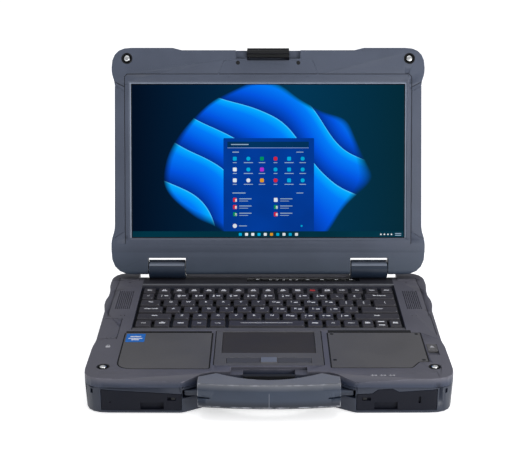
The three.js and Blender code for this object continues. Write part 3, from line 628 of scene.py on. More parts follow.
def build_signs():
    """Small printed signs: a padlock, a release arrow, and three signs for the sockets."""
    marks = bmesh.new()
    top = DECK_Z + 0.03
    prism(marks, rectangle(-162.2, -157.6, -194.5, -190.5, 0.5, 2), top - 0.1, top)
    arch = [(-161.4, -190.2), (-161.4, -188.2, 1.4), (-158.4, -188.2, 1.4), (-158.4, -190.2)]
    inner = [(-159.1, -190.2), (-159.1, -188.9, 0.6), (-160.7, -188.9, 0.6), (-160.7, -190.2)]
    prism(marks, rounded(arch + inner, 3), top - 0.1, top)
    y = -258.5
    for x in (98.5, 107, 115.5):
        top = deck_height(x, y) + 0.12
        for outline in (centred(x, y, 2.6, 0.35), circle(x + 2.4, y, 1.1, 12), centred(x - 0.8, y, 0.4, 1.6)):
            prism(marks, outline, top - 0.3, top)
    piece("deck_signs", marks, "top_cover", SIGN_INK_AND_HIGHLIGHT)
    top = node_box("media_release")[1].z
    arrow = [rounded([(160, -194), (164.4, -194), (162.2, -190)]), rectangle(160, 164.4, -195.6, -194.9)]
    plates("release_sign", arrow, top - 0.1, top + 0.03, "media_release", SIGN_INK_AND_HIGHLIGHT)


UNDER_HATCH = (-60, 70, -175, -75)  # x0, x1, y0, y1 of the service hatch
UNDER_SCREWS = both_sides([(150, -20), (150, -225), (70, -225), (95, -125)])


def underside_carving():
    """A service hatch, air slots under the fan and screw recesses in the floor of the case."""
    cutters = bmesh.new()
    low = CASE_FLOOR - 1
    outer = rectangle(*UNDER_HATCH, 6)
    rim_solid(cutters, outer, grown(outer, -0.9), low, CASE_FLOOR + 0.7)
    for row in range(9):
        prism(cutters, centred(-118, -66 + 5 * row, 20, 1.1, 1, 3), low, CASE_FLOOR + 1.6)
    for x, y in UNDER_SCREWS:
        prism(cutters, circle(x, y, 3.2), low, CASE_FLOOR + 1.4)
    return cutters


def build_underside():
    """Screws and a blank plate under the case."""
    heads = bmesh.new()
    for x, y in UNDER_SCREWS:
        screw_head(heads, (x, y, CASE_FLOOR + 1.1), 2.6, (0, 0, -1))
    x0, x1, y0, y1 = UNDER_HATCH
    for y in (y0 + 7, y1 - 7):
        for x in (x0 + 7, x1 - 7):
            screw_head(heads, (x, y, CASE_FLOOR), 2.2, (0, 0, -1))
    piece("underside_screws", heads, "bottom_case", DRIVE)
    plate = rectangle(-25, 35, -145, -115, 2)
    plates("underside_blank_plate", [plate], CASE_FLOOR - 0.08, CASE_FLOOR + 0.1, "bottom_case", PAD_BUTTON)


def build_notch_linings():
    """Thin walls that close the case off from the notches in its rear edge, outside the hinges."""
    inner, outer, front, rear, low, high = 135.5, 147.4, 0.1, 7.95, 4.05, 33.85
    wall = 0.35
    ring = [
        (inner, front), (outer, front), (outer, rear), (outer - wall, rear),
        (outer - wall, front + wall), (inner + wall, front + wall), (inner + wall, rear), (inner, rear),
    ]
    for name, side in SIDES.items():
        outline = rounded([(side * x, y) for x, y in ring])
        plates(f"rear_notch_lining_{name}", [outline], low, high, "bottom_case", CASE)


COVER_LOW, COVER_HIGH = node_box("port_cover_right")
COVER_BACK = 173.4  # x, just outside the thin back edge of a port cover, which stays square


def on_cover_outline(edge):
    """Whether an edge lies along the outer outline of a port cover."""
    ends = [v.co for v in edge.verts]
    levels = ((2, COVER_LOW.z), (2, COVER_HIGH.z), (1, COVER_LOW.y), (1, COVER_HIGH.y))
    on_side = any(all(abs(p[axis] - level) < 0.01 for p in ends) for axis, level in levels)
    return on_side and min(abs(p.x) for p in ends) > COVER_BACK


def build_casings():
    rim = (0.6, on_outer_rim)
    refined("top_cover", DECK, width=0.25, rim=rim, carving=deck_carving(), where=off_seam)
    refined("bottom_case", CASE, width=0.35, where=off_seam, carving=underside_carving())
    build_underside()
    build_notch_linings()
    refined("front_foot", RUBBER, width=0.5)
    refined("rear_foot", RUBBER, width=0.5)
    refined("latch_catch", DARK, width=0.3)
    refined("media_release", PALM, width=0.25)
    for name, side in SIDES.items():
        refined(f"battery_{name}", DOOR, width=0.35, carving=door_carving(side))
        refined(f"battery_latch_{name}", DARK, width=0.3)
        refined(f"port_cover_{name}", DOOR, width=0.4, where=on_cover_outline)
        refined(f"{name}_connectors", DARK, width=0)


HANDLE_BOW = 5
HANDLE_LINE = 5.2  # how far the fine line lies behind the front face
HANDLE_SHADED_ARM_X = 72  # beyond this the handle is its mounting arms, in the darker case paint as painted shade beside the handle's ends


def handle_front(x):
    """The y of the handle's front face, which bows towards the user."""
    low, high = node_box("carry_handle")
    return low.y + HANDLE_BOW * (x / high.x) ** 2


def handle_carving():
    """A slot in each end of the handle, a scoop under it, and a fine line along its top."""
    cutters = bmesh.new()
    front = handle_front(0)
    for side in SIDES.values():
        slot = rounded([(side * x, z) for x, z in ((54.5, 22.5), (70, 22.6), (70, 24.8), (56, 23.9))])
        prism(cutters, slot, front - CLEAR, front + 9, "xzy")
        scoop = rounded([(side * x, handle_front(67) + y) for x, y in ((72, 0.9), (34, -4.5), (72, -6))])
        prism(cutters, scoop, 8, 20.5)
    steps = [(x, handle_front(x) + HANDLE_LINE) for x in range(-64, 65, 8)]
    for (x0, y0), (x1, y1) in zip(steps, steps[1:]):
        left = x0 - 0.05
        right = x1 + 0.05
        line = [(left, y0 - 0.25), (right, y1 - 0.25), (right, y1 + 0.25), (left, y0 + 0.25)]
        prism(cutters, rounded(line), 35.5, 38)
    return cutters


def build_handle():
    handle = refined("carry_handle", HANDLE, width=0.9, carving=handle_carving(), segments=3)
    # painted shade: the arms take the darker case paint, for the shade between the handle's ends and the case
    handle.data.materials.append(CASE)
    for face in handle.data.polygons:
        if abs(face.center.x) > HANDLE_SHADED_ARM_X * MM:
            face.material_index = 1
    front = handle_front(0)
    line = rectangle(-0.25, 0.25, 14, 29.5, 0.2, 2)
    plates("handle_parting_line", [line], front - 0.12, front + 1, "carry_handle", SENSOR, "xzy")


# ---- keyboard


def cap_spans(node):
    """The flat top of each key cap of a CAD node, as (x0, x1, y0, y1), from the left and from the front."""
    bm = flat_faced(node)
    top = max(v.co.z for v in bm.verts)
    spans = []
    for face in bm.faces:
        if min(v.co.z for v in face.verts) > top - 0.01:
            xs = [v.co.x for v in face.verts]
            ys = [v.co.y for v in face.verts]
            spans.append((min(xs), max(xs), min(ys), max(ys)))
    bm.free()
    return sorted(spans, key=lambda span: (round(span[0]), span[2]))


CAP_TOP = node_box("home_row_keys")[1].z
CAP_LOW = node_box("home_row_keys")[0].z
CAP_DRAFT = 1.1
CAP_DISH = 0.35
LEGEND_Z = CAP_TOP - CAP_DISH + 0.06  # just above the floor of the dish


def key_cap(bm, span):
    """A cap with rounded edges and a shallow dish."""
    x0, x1, y0, y1 = span
    reach = min(3.2, 0.36 * (y1 - y0))  # how far in from the rim the floor of the dish starts

    def ring(grow, height, cut):
        return lying(rectangle(x0 - grow, x1 + grow, y0 - grow, y1 + grow, cut, steps=4), height)

    profile = [
        (CAP_DRAFT, CAP_LOW, 1.3),
        (CAP_DRAFT - 0.15, CAP_TOP - 1.7, 1.3),
        (CAP_DRAFT - 0.5, CAP_TOP - 0.55, 1.4),
        (0.35, CAP_TOP - 0.15, 1.5),
        (0.0, CAP_TOP, 1.5),
        (-0.19 * reach, CAP_TOP, 0.4 * reach),
        (-0.56 * reach, CAP_TOP - CAP_DISH / 2, 0.3 * reach),
        (-reach, CAP_TOP - CAP_DISH, 0.2 * reach),
    ]
    loft(bm, [ring(*row) for row in profile])


LEGENDS = {
    "function_keys": ["Esc", *(f"F{i}" for i in range(1, 13)), "PrtSc", "Ins", "Pause", "Del"],
    "number_keys": ["~\n`", "!\n1", "@\n2", "#\n3", "$\n4", "%\n5", "^\n6", "&\n7", "*\n8", "(\n9", ")\n0",
                    "_\n-", "+\n="],
    "backspace_key": ["Backspace"],
    "upper_letter_keys": ["Tab", *"QWERTYUIOP", "{\n[", "}\n]", "|\n\\"],
    "home_row_keys": ["Caps Lock", *"ASDFGHJKL", ":\n;", "\"\n'"],
    "enter_key": ["Enter"],
    "left_shift_key": ["Shift"],
    "lower_letter_keys": [*"ZXCVBNM", "<\n,", ">\n.", "?\n/"],
    "right_shift_key": ["Shift"],
    "bottom_row_keys": ["Ctrl", "Fn", "", "Alt", "Lang", "", "Alt", "Menu", "Home", "PgDn", "PgUp", "End"],
    "space_key": [""],
}
BARRED = {  # caps that carry a small printed bar beside or under the legend
    "function_keys": range(1, 13),
    "number_keys": range(1, 11),
    "upper_letter_keys": range(7, 11),
    "home_row_keys": range(7, 11),
    "lower_letter_keys": range(6, 10),
    "bottom_row_keys": (1, 2, 5, 8, 9, 10, 11),
    "space_key": (0,),
}
RED_KEY = 11
INK_DEPTH = 0.04
TALL_CAP = 7  # from front to rear; shorter caps in the bottom row, the arrows, have no letters


def letters_object(text, size, weight):
    """Built-in letters as a text object in millimetres, centred on the origin."""
    curve = bpy.data.curves.new("letters", "FONT")
    curve.body = text
    curve.size = size
    curve.space_line = 0.62
    curve.offset = weight
    curve.extrude = INK_DEPTH / 2
    curve.resolution_u = 2
    curve.align_x = "CENTER"
    curve.align_y = "CENTER"
    obj = bpy.data.objects.new("letters", curve)
    bpy.context.scene.collection.objects.link(obj)
    return obj


def collect_letters(requests):
    """Adds each (mesh, text, size, weight, centre) to its mesh, with one update for them all."""
    made = [(bm, letters_object(text, size, weight), centre) for bm, text, size, weight, centre in requests]
    graph = bpy.context.evaluated_depsgraph_get()
    for bm, obj, centre in made:
        mesh = bpy.data.meshes.new_from_object(obj.evaluated_get(graph))
        mesh.transform(Matrix.Translation(centre))
        bm.from_mesh(mesh)
        bpy.data.meshes.remove(mesh)
    for _, obj, _ in made:
        curve = obj.data
        bpy.data.objects.remove(obj)
        bpy.data.curves.remove(curve)


def cap_corner_highlight(bm, span):
    """The lighter mark in the lower right corner of a cap, a painted highlight on its corner."""
    x1, y0 = span[1], span[2]
    bar_mark(bm, x1 - 0.9, y0 + 0.7, 0.55, 0.35, CAP_TOP)


def bar_mark(bm, x, y, half_x, half_y, height):
    prism(bm, centred(x, y, half_x, half_y, 0.35, 2), height, height + INK_DEPTH)


def build_keys():
    requests = []
    inks = []
    for node, legends in LEGENDS.items():
        caps = bmesh.new()
        marks = bmesh.new()
        red = bmesh.new()
        corner_highlights = bmesh.new()
        for i, (span, legend) in enumerate(zip(cap_spans(node), legends)):
            key_cap(caps, span)
            # painted highlight: a light mark on each cap's lower right corner
            if node not in ("function_keys", "bottom_row_keys"):
                cap_corner_highlight(corner_highlights, span)
            target = red if node == "function_keys" and i == RED_KEY else marks
            add_legend(requests, target, node, legend, span, i in BARRED.get(node, ()))
        stand_in(f"{node}_caps", caps, node, KEYS, smooth=50)
        inks.append((node, marks, WHITE_INK, "legends"))
        inks.append((node, red, RED_INK, "red_legend"))
        inks.append((node, corner_highlights, SIGN_INK_AND_HIGHLIGHT, "corner_highlights"))
    collect_letters(requests)
    for node, bm, material, kind in inks:
        if bm.verts:
            piece(f"{node}_{kind}", bm, node, material)
        else:
            bm.free()


def add_legend(requests, bm, node, legend, span, barred):
    """The letters of one cap and its bar."""
    x0, x1, y0, y1 = span
    middle = Vector(((x0 + x1) / 2, (y0 + y1) / 2, LEGEND_Z))
    letters, bar_shape = legend_style(node, legend, y1 - y0 > TALL_CAP, barred)
    if legend and letters:
        size, weight, dx, dy = letters
        requests.append((bm, legend, size, weight, middle + Vector((dx, dy, 0))))
    if barred:
        dx, dy, half_x, half_y = bar_shape
        bar_mark(bm, middle.x + dx, middle.y + dy, half_x, half_y, LEGEND_Z)


def legend_style(node, legend, tall, barred):
    """A cap's letters, as (size, weight, dx, dy) or None, and its bar, as (dx, dy, half_x, half_y)."""
    if node == "space_key":
        return None, (0, 1.5, 27, 0.35)
    if node == "function_keys":
        return (3.6, 0.16, 0, 1.8 if barred else 0.6), (0, -1.1, 2.9, 1.05)
    if node == "bottom_row_keys":
        letters = (3.2, 0.05, 0, 3.4 if barred else 1)
        return (letters if tall else None), (0, 1 if tall else 0, 3.2, 0.95)
    if "\n" in legend:
        return (4.4, 0.12, -2.6 if barred else 0, 0.6), (2.4, 1.4, 2.1, 1.0)
    size = 4.8 if len(legend) == 1 else 3.4
    return (size, 0.12, -2.2 if barred else 0, 2.4), (2.6, 1.0, 2.1, 1.0)


REAR_DECK_END = -0.4
RAIL_TOP = 34.6


def build_keyboard_frame():
    """The plate under the keys, with a rail in front of them and a light strip behind them, a painted highlight
    along the rear edge of their well.
    """
    refined("keyboard_plate", DARK, width=0)
    low, high = node_box("keyboard_plate")
    keys_front = node_box("space_key")[0].y
    rail = rectangle(low.x, high.x, low.y, keys_front - 1.2)
    plates("keyboard_front_rail", [rail], high.z, RAIL_TOP, "keyboard_plate", PAD_FRAME, bevel=0.4)
    # painted highlight along the rear edge of the keys' well
    rear_highlight = rectangle(low.x, high.x, high.y - 0.6, high.y + 2.2)
    plates("keyboard_rear_highlight", [rear_highlight], DECK_Z - 0.4, DECK_Z + 0.45, "top_cover", REAR_EDGE_HIGHLIGHT, bevel=0.2)
    build_rear_deck(high)


def build_rear_deck(keyboard_corner):
    """The darker plate between the keyboard and the hinges, a painted shade from the lid, with an opening for the
    indicator strip.
    """
    strip_low, strip_high = node_box("indicator_strip")
    bm = bmesh.new()
    plate = rectangle(-keyboard_corner.x, keyboard_corner.x, keyboard_corner.y + 2.8, REAR_DECK_END, 0.8, 2)
    prism(bm, plate, DECK_Z - 0.3, DECK_Z + 0.12)
    opening = bmesh.new()
    gap = 0.3
    hole = rectangle(strip_low.x - gap, strip_high.x + gap, strip_low.y - gap, strip_high.y + gap, 0.8, 2)
    prism(opening, hole, DECK_Z - CLEAR, DECK_Z + CLEAR)
    carve(bm, opening)
    piece("rear_deck_shade_plate", bm, "top_cover", REAR_DECK_SHADE)


# ---- palm rest details


def screw_head(bm, place, radius, up=(0, 0, 1)):
    """A low pan head with a rounded rim."""
    profile = [(radius, -0.6), (radius, -0.1), (radius - 0.25, 0.12), (radius * 0.55, 0.24), (0.25, 0.26)]
    turned(bm, profile, place, up, 20)


def build_screws(name, node, places, z, radius):
    """A set of slotted screws on a level face of the base."""
    bm = bmesh.new()
    cutters = bmesh.new()
    for x, y in places:
        screw_head(bm, (x, y, z), radius)
        prism(cutters, centred(x, y, radius * 0.8, 0.28), z - 0.1, z + 1)
    carve(bm, cutters)
    piece(name, bm, node, DARK)


BARREL_RADIUS = 9.4


def build_hinges():
    """Brackets with a lighter strip along the top of each barrel, a painted highlight where the barrel's top
    catches the light.
    """
    outer = BARREL_RADIUS + 0.25
    inner = BARREL_RADIUS - 0.8
    for name in SIDES:
        node = f"hinge_bracket_{name}"
        refined(node, HINGE_PAINT, width=0.5)
        low, high = node_box(node)
        angles = [radians(48 + 6 * i) for i in range(9)]
        arc = [Vector((-outer * cos(a), HINGE.z + outer * sin(a))) for a in angles]
        back = [Vector((-inner * cos(a), HINGE.z + inner * sin(a))) for a in angles]
        section = arc + back[::-1]
        plates(f"{node}_cover", [section], low.x + 0.6, high.x - 0.6, node, HINGE_HIGHLIGHT, "yzx", smooth=50)


COLLAR = [(6.2, -1.9), (6.2, -0.1), (5.7, 0.02), (5.2, -0.3), (4.9, -1.2), (4.6, -1.9)]


def build_studs():
    """Domed steel contacts in ringed recesses, on the palm rest and on the lid."""
    for name, side in SIDES.items():
        for where, centre, out, rise in (
            ("base", (side * STUD_X, STUD_Y, DECK_Z), (0, 0, 1), 0.5),
            ("lid", (side * STUD_X, LID_FACE, -STUD_Y), (0, -1, 0), 0.4),
        ):
            node = f"{where}_stud_{name}"
            dome = bmesh.new()
            crown = [(3.2, rise - 0.5), (2.6, rise - 0.15), (1.4, rise), (0.2, rise)]
            turned(dome, [(3.1, -5), (3.3, -0.6), *crown], centre, out)
            stand_in(f"{node}_dome", dome, node, STEEL, smooth=60)
            collar = bmesh.new()
            turned(collar, COLLAR, centre, out)
            piece(f"{node}_collar", collar, node, DARK, smooth=60)


def build_palm_details():
    low, high = node_box("right_palm_panel")
    corners = [(x, y) for y in (high.y - 3.6, low.y + 17.5) for x in (low.x + 4.2, high.x - 4.2)]
    build_screws("palm_panel_screws", "right_palm_panel", corners, high.z, 2.1)
    build_screws("deck_screws", "top_cover", both_sides([(156, -15)]), high.z - 0.9, 1.3)
    top = high.z + 0.12
    label = rectangle(-144, -125, -181.5, -161, 1.2)
    plates("blue_label_plate", [label], high.z - 0.02, top, "left_palm_panel", BLUE_LABEL)
    marks = [centred(-134.5, y, half, 0.8, 0.5, 2) for y, half in ((-168, 5.5), (-172.5, 7), (-176, 4))]
    plates("blue_label_marks", marks, top, top + INK_DEPTH, "left_palm_panel", WHITE_INK)


def build_touchpad():
    refined("touchpad_frame", PAD_FRAME, width=0.3)
    refined("touchpad", PAD, width=0.2)
    for name in SIDES:
        refined(f"touchpad_button_{name}", PAD_BUTTON, width=0.35)
    high = node_box("touchpad_frame")[1]
    low = node_box("touchpad_button_left")[0]
    sensor = rectangle(-7.7, 7.7, low.y + 0.3, low.y + 11.2, 0.6, 2)
    plates("fingerprint_sensor", [sensor], high.z - 0.2, high.z + 0.15, "touchpad_frame", SENSOR, bevel=0.12)


# ---- indicator strip

INDICATOR_X = (2.7, 10.3, 17.7, 25.4, 32.7)


def build_indicators():
    refined("indicator_strip", GLOSS, width=0.25)
    buttons = ["power_button", *(f"shortcut_button_{i}" for i in range(1, 5))]
    for node in buttons:
        refined(node, DARK, width=0.35)
        low, high = node_box(node)
        centre = (low + high) / 2
        bm = bmesh.new()
        bar_mark(bm, centre.x, centre.y, 1.9, 1.0, high.z)
        piece(f"{node}_mark", bm, node, WHITE_INK)
    low, high = node_box("indicator_strip")
    bm = bmesh.new()
    for x in INDICATOR_X:
        bar_mark(bm, x, (low.y + high.y) / 2, 1.4, 0.8, high.z)
    piece("indicator_marks", bm, "indicator_strip", WHITE_INK)


# ---- lid

SCREEN_LOW = 36.7
SCREEN_HIGH = 210.7
SCREEN_HALF = 154.7
BEVEL_RUN = 2.2


def window_bevel():
    """The slanted inner edge of the bezel, as a cutter that widens towards the user."""
    cutters = bmesh.new()
    rings = []
    for grow, depth in ((BEVEL_RUN + 0.4, -0.3), (0.1, 1.6)):
        window = rectangle(-SCREEN_HALF - grow, SCREEN_HALF + grow, SCREEN_LOW - grow, SCREEN_HIGH + grow)
        rings.append(standing(window, LID_FACE + depth))
    loft(cutters, rings)
    return cutters


FRAME_X = 161.8
FRAME_TOP = 221.6


def bezel_seams():
    """Paths of the seams on the lid's inner face: the frame around the window, and one across each rail."""
    paths = [[(-55, FRAME_TOP), (55, FRAME_TOP)]]
    for side in SIDES.values():
        frame_path = [(FRAME_X, 30), (FRAME_X, FRAME_TOP - 3), (FRAME_X - 3, FRAME_TOP), (57, FRAME_TOP)]
        paths.append([(side * x, z) for x, z in frame_path])
        paths.append([(side * x, z) for x, z in ((FRAME_X, 207), (172.5, 212.5))])
    return paths


def bezel_carving():
    cutters = window_bevel()
    for path in bezel_seams():
        seam(cutters, path, 0.7, LID_FACE - 1, LID_FACE + 0.8, "xzy")
    for x in (-44.5, -15.4, 14.3, 43.7):
        prism(cutters, circle(x, 218.6, 0.8, 12), LID_FACE - 1, LID_FACE + 0.8, "xzy")
    return cutters


BACK_HALF = 146
BACK_LOW = 34
BACK_HIGH = 232
BACK_SCREWS = both_sides([(157, 60), (157, 205), (110, 240)])
BUMPERS = ((48, 54), (216, 224))  # lowest and highest z of the two bumpers on each side


def lid_back_carving():
    """A panel joint, two long flutes and the screw recesses on the back of the lid."""
    cutters = bmesh.new()
    top = LID_BACK + CLEAR
    outer = rectangle(-BACK_HALF, BACK_HALF, BACK_LOW, BACK_HIGH, 14)
    rim_solid(cutters, outer, grown(outer, -0.9), LID_BACK - 0.7, top, standing)
    for side in SIDES.values():
        flute = rectangle(side * 92 - 3, side * 92 + 3, BACK_LOW + 22, BACK_HIGH - 22, 2.9)
        prism(cutters, flute, LID_BACK - 0.6, top, "xzy")
    for x, z in BACK_SCREWS:
        prism(cutters, circle(x, z, 2.8), LID_BACK - 1.2, top, "xzy")
    return cutters


def build_lid_back():
    """Screws and rubber bumpers on the back of the lid."""
    heads = bmesh.new()
    for x, z in BACK_SCREWS:
        screw_head(heads, (x, LID_BACK - 1, z), 2.3, (0, 1, 0))
    piece("lid_back_screws", heads, "lid_shell", DRIVE)
    bumpers = bmesh.new()
    for side in SIDES.values():
        for low, high in BUMPERS:
            pad = rectangle(side * 157 - 8, side * 157 + 8, low, high, 2.4)
            levels = ((0, -0.5), (0, 0.5), (-0.8, 0.9))
            loft(bumpers, [standing(grown(pad, growth), LID_BACK + depth) for growth, depth in levels])
    piece("lid_bumpers", bumpers, "lid_shell", RUBBER)


def on_lid_rim(edge):
    """Whether an edge of the lid lies along its outside, and not where its halves meet."""
    middle = edge_middle(edge)
    outside = abs(middle.x) > 171 or middle.z > 245
    return outside and abs(middle.y) > 3 and abs(edge.verts[0].co.y - edge.verts[1].co.y) < 1


def build_lid():
    refined("lid_shell", LID_PAINT, width=0.3, rim=(0.8, on_lid_rim), carving=lid_back_carving())
    build_lid_back()
    seals = bmesh.new()
    for path in bezel_seams():
        seam(seals, path, 0.6, LID_FACE + 0.45, LID_FACE + 0.85, "xzy")
    piece("bezel_seals", seals, "screen_bezel", RUBBER)
    refined("screen_bezel", LID_PAINT, width=0.25, rim=(0.6, on_lid_rim), carving=bezel_carving())
    refined("latch_plate", LID_PAINT, width=0.2)
    refined("lid_latch", DARK, width=0.4)
    for name in SIDES:
        refined(f"antenna_rail_{name}", LID_PAINT, width=0.25)
    bm = bmesh.new()
    for side in SIDES.values():
        screw_head(bm, (side * 34, LID_FACE, 234.2), 2.4, (0, -1, 0))
    piece("latch_plate_screws", bm, "latch_plate", DARK)


# ---- screen


BANK_CENTRE = (0.011, 0.157)  # x and height of the middle of the folds, in metres
BANK_HALF_WIDTH = 0.135
BANK_HALF_HEIGHT = 0.097
RIPPLE_PUSH = 0.9


NIGHT_STOPS = [
    (0.0, (0.0, 0.004, 0.015)), (0.3, (0.0, 0.015, 0.045)), (0.6, (0.0, 0.036, 0.088)),
    (1.0, (0.0, 0.022, 0.038)),
]
FOLD_STOPS = [
    (0.0, (0.0, 0.03, 0.3)), (0.35, (0.0, 0.09, 0.75)), (0.75, (0.0, 0.2, 0.95)), (0.97, (0.0, 0.42, 1.0)),
    (1.0, (0.1, 0.6, 1.0)),
]


def ramp(surface, source, stops):
    """Colours along a value, from (position, colour) stops."""
    node = surface.add("ShaderNodeValToRGB", {"Fac": source})
    elements = node.color_ramp.elements
    while len(elements) < len(stops):
        elements.new(0.5)
    for element, (position, color) in zip(elements, stops):
        element.position = position
        element.color = (*color, 1)
    return node.outputs["Color"]


def bank_mask(surface):
    """1 inside a wavy oval, and 0 outside it."""
    place = surface.place
    wide = 1 / BANK_HALF_WIDTH
    high = 1 / BANK_HALF_HEIGHT
    half_push = RIPPLE_PUSH / 2
    centre = (-BANK_CENTRE[0] * wide - half_push, -half_push, -BANK_CENTRE[1] * high - half_push)
    oval = surface.add("ShaderNodeMapping", {"Location": centre, "Scale": (wide, 0, high), "Vector": place})
    ripple = surface.add("ShaderNodeTexNoise", {"Scale": 9, "Detail": 0.5, "Vector": place})
    inputs = {"Scale": RIPPLE_PUSH, 0: ripple.outputs["Color"]}
    push = surface.add("ShaderNodeVectorMath", inputs, operation="SCALE")
    inputs = {0: oval.outputs["Vector"], 1: push.outputs["Vector"]}
    bent = surface.add("ShaderNodeVectorMath", inputs, operation="ADD")
    bank = surface.add("ShaderNodeTexGradient", {"Vector": bent.outputs["Vector"]}, gradient_type="SPHERICAL")
    return surface.spread(bank.outputs["Fac"], 0, 1, 0.1, 0.14)


def wallpaper():
    """Dark blue with a bank of bright diagonal folds: an abstract picture, lit from behind."""
    surface = Surface("screen_picture", (0, 0, 0), 0.3, specular=0.02)
    across = surface.spread(surface.along("X"), 0, 1, -0.155, 0.155)
    ribbons = surface.add(
        "ShaderNodeTexWave",
        {"Scale": 9, "Distortion": 8, "Detail": 0.5, "Detail Scale": 0.8, "Vector": surface.place},
        wave_type="BANDS", bands_direction="DIAGONAL", wave_profile="SAW",
    )
    night = ramp(surface, across, NIGHT_STOPS)
    folds = ramp(surface, ribbons.outputs["Fac"], FOLD_STOPS)
    surface.glow(surface.mix(bank_mask(surface), night, folds), 1.0)
    return surface.material


def lit(name, color):
    """A part of the picture on the screen."""
    surface = Surface(name, (0, 0, 0), 0.3, specular=0.02)
    surface.glow(surface.clouds(surface.noise(30, detail=1), color, 0.8), 1.0)
    return surface.material


GLASS_FACE = node_box("display_panel")[0].y
LAYER = 0.03  # step between the layers of the picture


def screen_layer(name, outlines, layer, material):
    near = GLASS_FACE - LAYER * (layer + 1)
    plates(name, outlines, near, near + LAYER, "display_panel", material, "xzy")


ICON_COLORS = {
    "cyan": (0.0, 0.42, 0.75),
    "white": (0.8, 0.85, 0.9),
    "red": (0.7, 0.02, 0.05),
    "green": (0.0, 0.3, 0.12),
    "amber": (0.8, 0.35, 0.02),
    "violet": (0.5, 0.03, 0.7),
}
LAUNCHER = (-50.5, 52, 44.2, 149.6)  # x0, x1, z0, z1
TASK_STRIP_TOP = 44.2
APP_COLUMNS = [-37.7 + 15.36 * i for i in range(6)]
APP_ROWS = [126.4, 114.2, 101.9]
APP_COLORS = [
    ["cyan", "cyan", "green", "red", "cyan", "cyan"],
    ["white", "cyan", "violet", "cyan", "cyan", "cyan"],
    ["white", "white", "amber", "red", "cyan", "cyan"],
]
FILE_ROWS = [79.8, 71.7, 63.5]
FILE_COLUMNS = [-37.7, 8.6]
FILE_COLORS = [["red", "white"], ["red", "green"], ["green", "red"]]
TASK_Z = 40.7
TASK_X = [-31.5 + 7.08 * i for i in range(10)]
TASK_COLORS = ["cyan", "white", "white", "cyan", "white", "amber", "cyan", "white", "cyan", "white"]


def bar(x0, x1, z, half=0.35):
    return rectangle(x0, x1, z - half, z + half, half * 0.9, 2)


def build_window_highlight():
    """A light slanted strip along the sides and the top of the window: a painted highlight on the bezel's bevel.
    """
    bm = bmesh.new()
    section = [(BEVEL_RUN + 0.25, -0.06), (0.05, 1.5), (0.05, 2.0), (BEVEL_RUN + 0.25, 0.8)]
    stations = [
        [(-SCREEN_HALF - g, SCREEN_LOW + 0.2, d) for g, d in section],
        [(-SCREEN_HALF - g, SCREEN_HIGH + g, d) for g, d in section],
        [(SCREEN_HALF + g, SCREEN_HIGH + g, d) for g, d in section],
        [(SCREEN_HALF + g, SCREEN_LOW + 0.2, d) for g, d in section],
    ]
    loft(bm, [[Vector((x, LID_FACE + d, z)) for x, z, d in ring] for ring in stations])
    piece("window_painted_highlight", bm, "screen_bezel", WINDOW_HIGHLIGHT)


def build_screen():
    build_window_highlight()
    refined("display_panel", GLASS, width=0.2)
    inset = 0.9
    left, right, low = -SCREEN_HALF + inset, SCREEN_HALF - inset, SCREEN_LOW + inset
    full = rectangle(left, right, low, SCREEN_HIGH - inset)
    task_strip = rectangle(left, right, low, TASK_STRIP_TOP)
    search = rectangle(-46, 46, 139.4, 145.6)
    screen_layer("screen_picture", [full], 0, wallpaper())
    screen_layer("screen_task_strip", [task_strip], 1, lit("task_strip", (0.0, 0.035, 0.06)))
    launcher = rectangle(*LAUNCHER, 1.0, 3)
    screen_layer("screen_launcher", [launcher], 2, lit("launcher_panel", (0.0, 0.045, 0.33)))
    screen_layer("screen_search_field", [search], 3, lit("search_field", (0.0, 0.035, 0.12)))
    build_screen_icons()


def build_screen_icons():
    shapes = {color: [] for color in ICON_COLORS}
    lines = [bar(-46, 46, 138.6, 0.22), bar(-42, -22, 142.4, 0.5), bar(-40.5, -33, 133.8, 0.5)]
    lines += [bar(32, 40, 133.8, 0.4), bar(-40.5, -25.5, 87.6, 0.5), bar(32, 40, 87.6, 0.4)]
    for z, colors in zip(APP_ROWS, APP_COLORS):
        for column, (x, color) in enumerate(zip(APP_COLUMNS, colors)):
            half = 2.2
            cut = half * (0.95 if column % 2 else 0.5)
            shapes[color].append(centred(x, z, half, half, cut, 4))
            width = 2.2 + 1.5 * ((column * 2 + round(z)) % 3)
            lines.append(bar(x - width, x + width, z - 4.5, 0.38))
    for z, colors in zip(FILE_ROWS, FILE_COLORS):
        for x, color in zip(FILE_COLUMNS, colors):
            shapes[color].append(centred(x, z, 2, 2.3, 0.7, 2))
            shapes["white"].append(rectangle(x + 0.2, x + 2.3, z - 2.1, z + 1.2, 0.4, 2))
            lines.append(bar(x + 5, x + 19, z + 1.2, 0.45))
            lines.append(bar(x + 5, x + 15, z - 1.3, 0.3))
    shapes["white"].append(circle(-37.7, 50.3, 2.4))
    lines.append(bar(-33, -24, 50.3, 0.4))
    shapes["cyan"].append(circle(38, 50.3, 1.2))
    for x, color in zip(TASK_X, TASK_COLORS):
        shapes[color].append(centred(x, TASK_Z, 1.7, 1.6, 0.7, 3))
    for x in (128, 132, 136, 140):
        shapes["white"].append(circle(x, TASK_Z, 0.9, 12))
    lines += [bar(144, 151, TASK_Z + 1, 0.4), bar(144, 151, TASK_Z - 1, 0.4)]
    for color, outlines in shapes.items():
        screen_layer(f"screen_icons_{color}", outlines, 4, lit(f"icon_{color}", ICON_COLORS[color]))
    screen_layer("screen_lines", lines, 5, lit("screen_line", (0.35, 0.5, 0.65)))


# ---- pieces kept as they are

KEPT = {
    "mainboard": BOARD,
    "heat_sink": COPPER,
    "cooling_fan": DARK,
    "storage_drive": DRIVE,
    "speaker_left": DARK,
    "speaker_right": DARK,
    "hinge_shaft_left": STEEL,
    "hinge_shaft_right": STEEL,
}


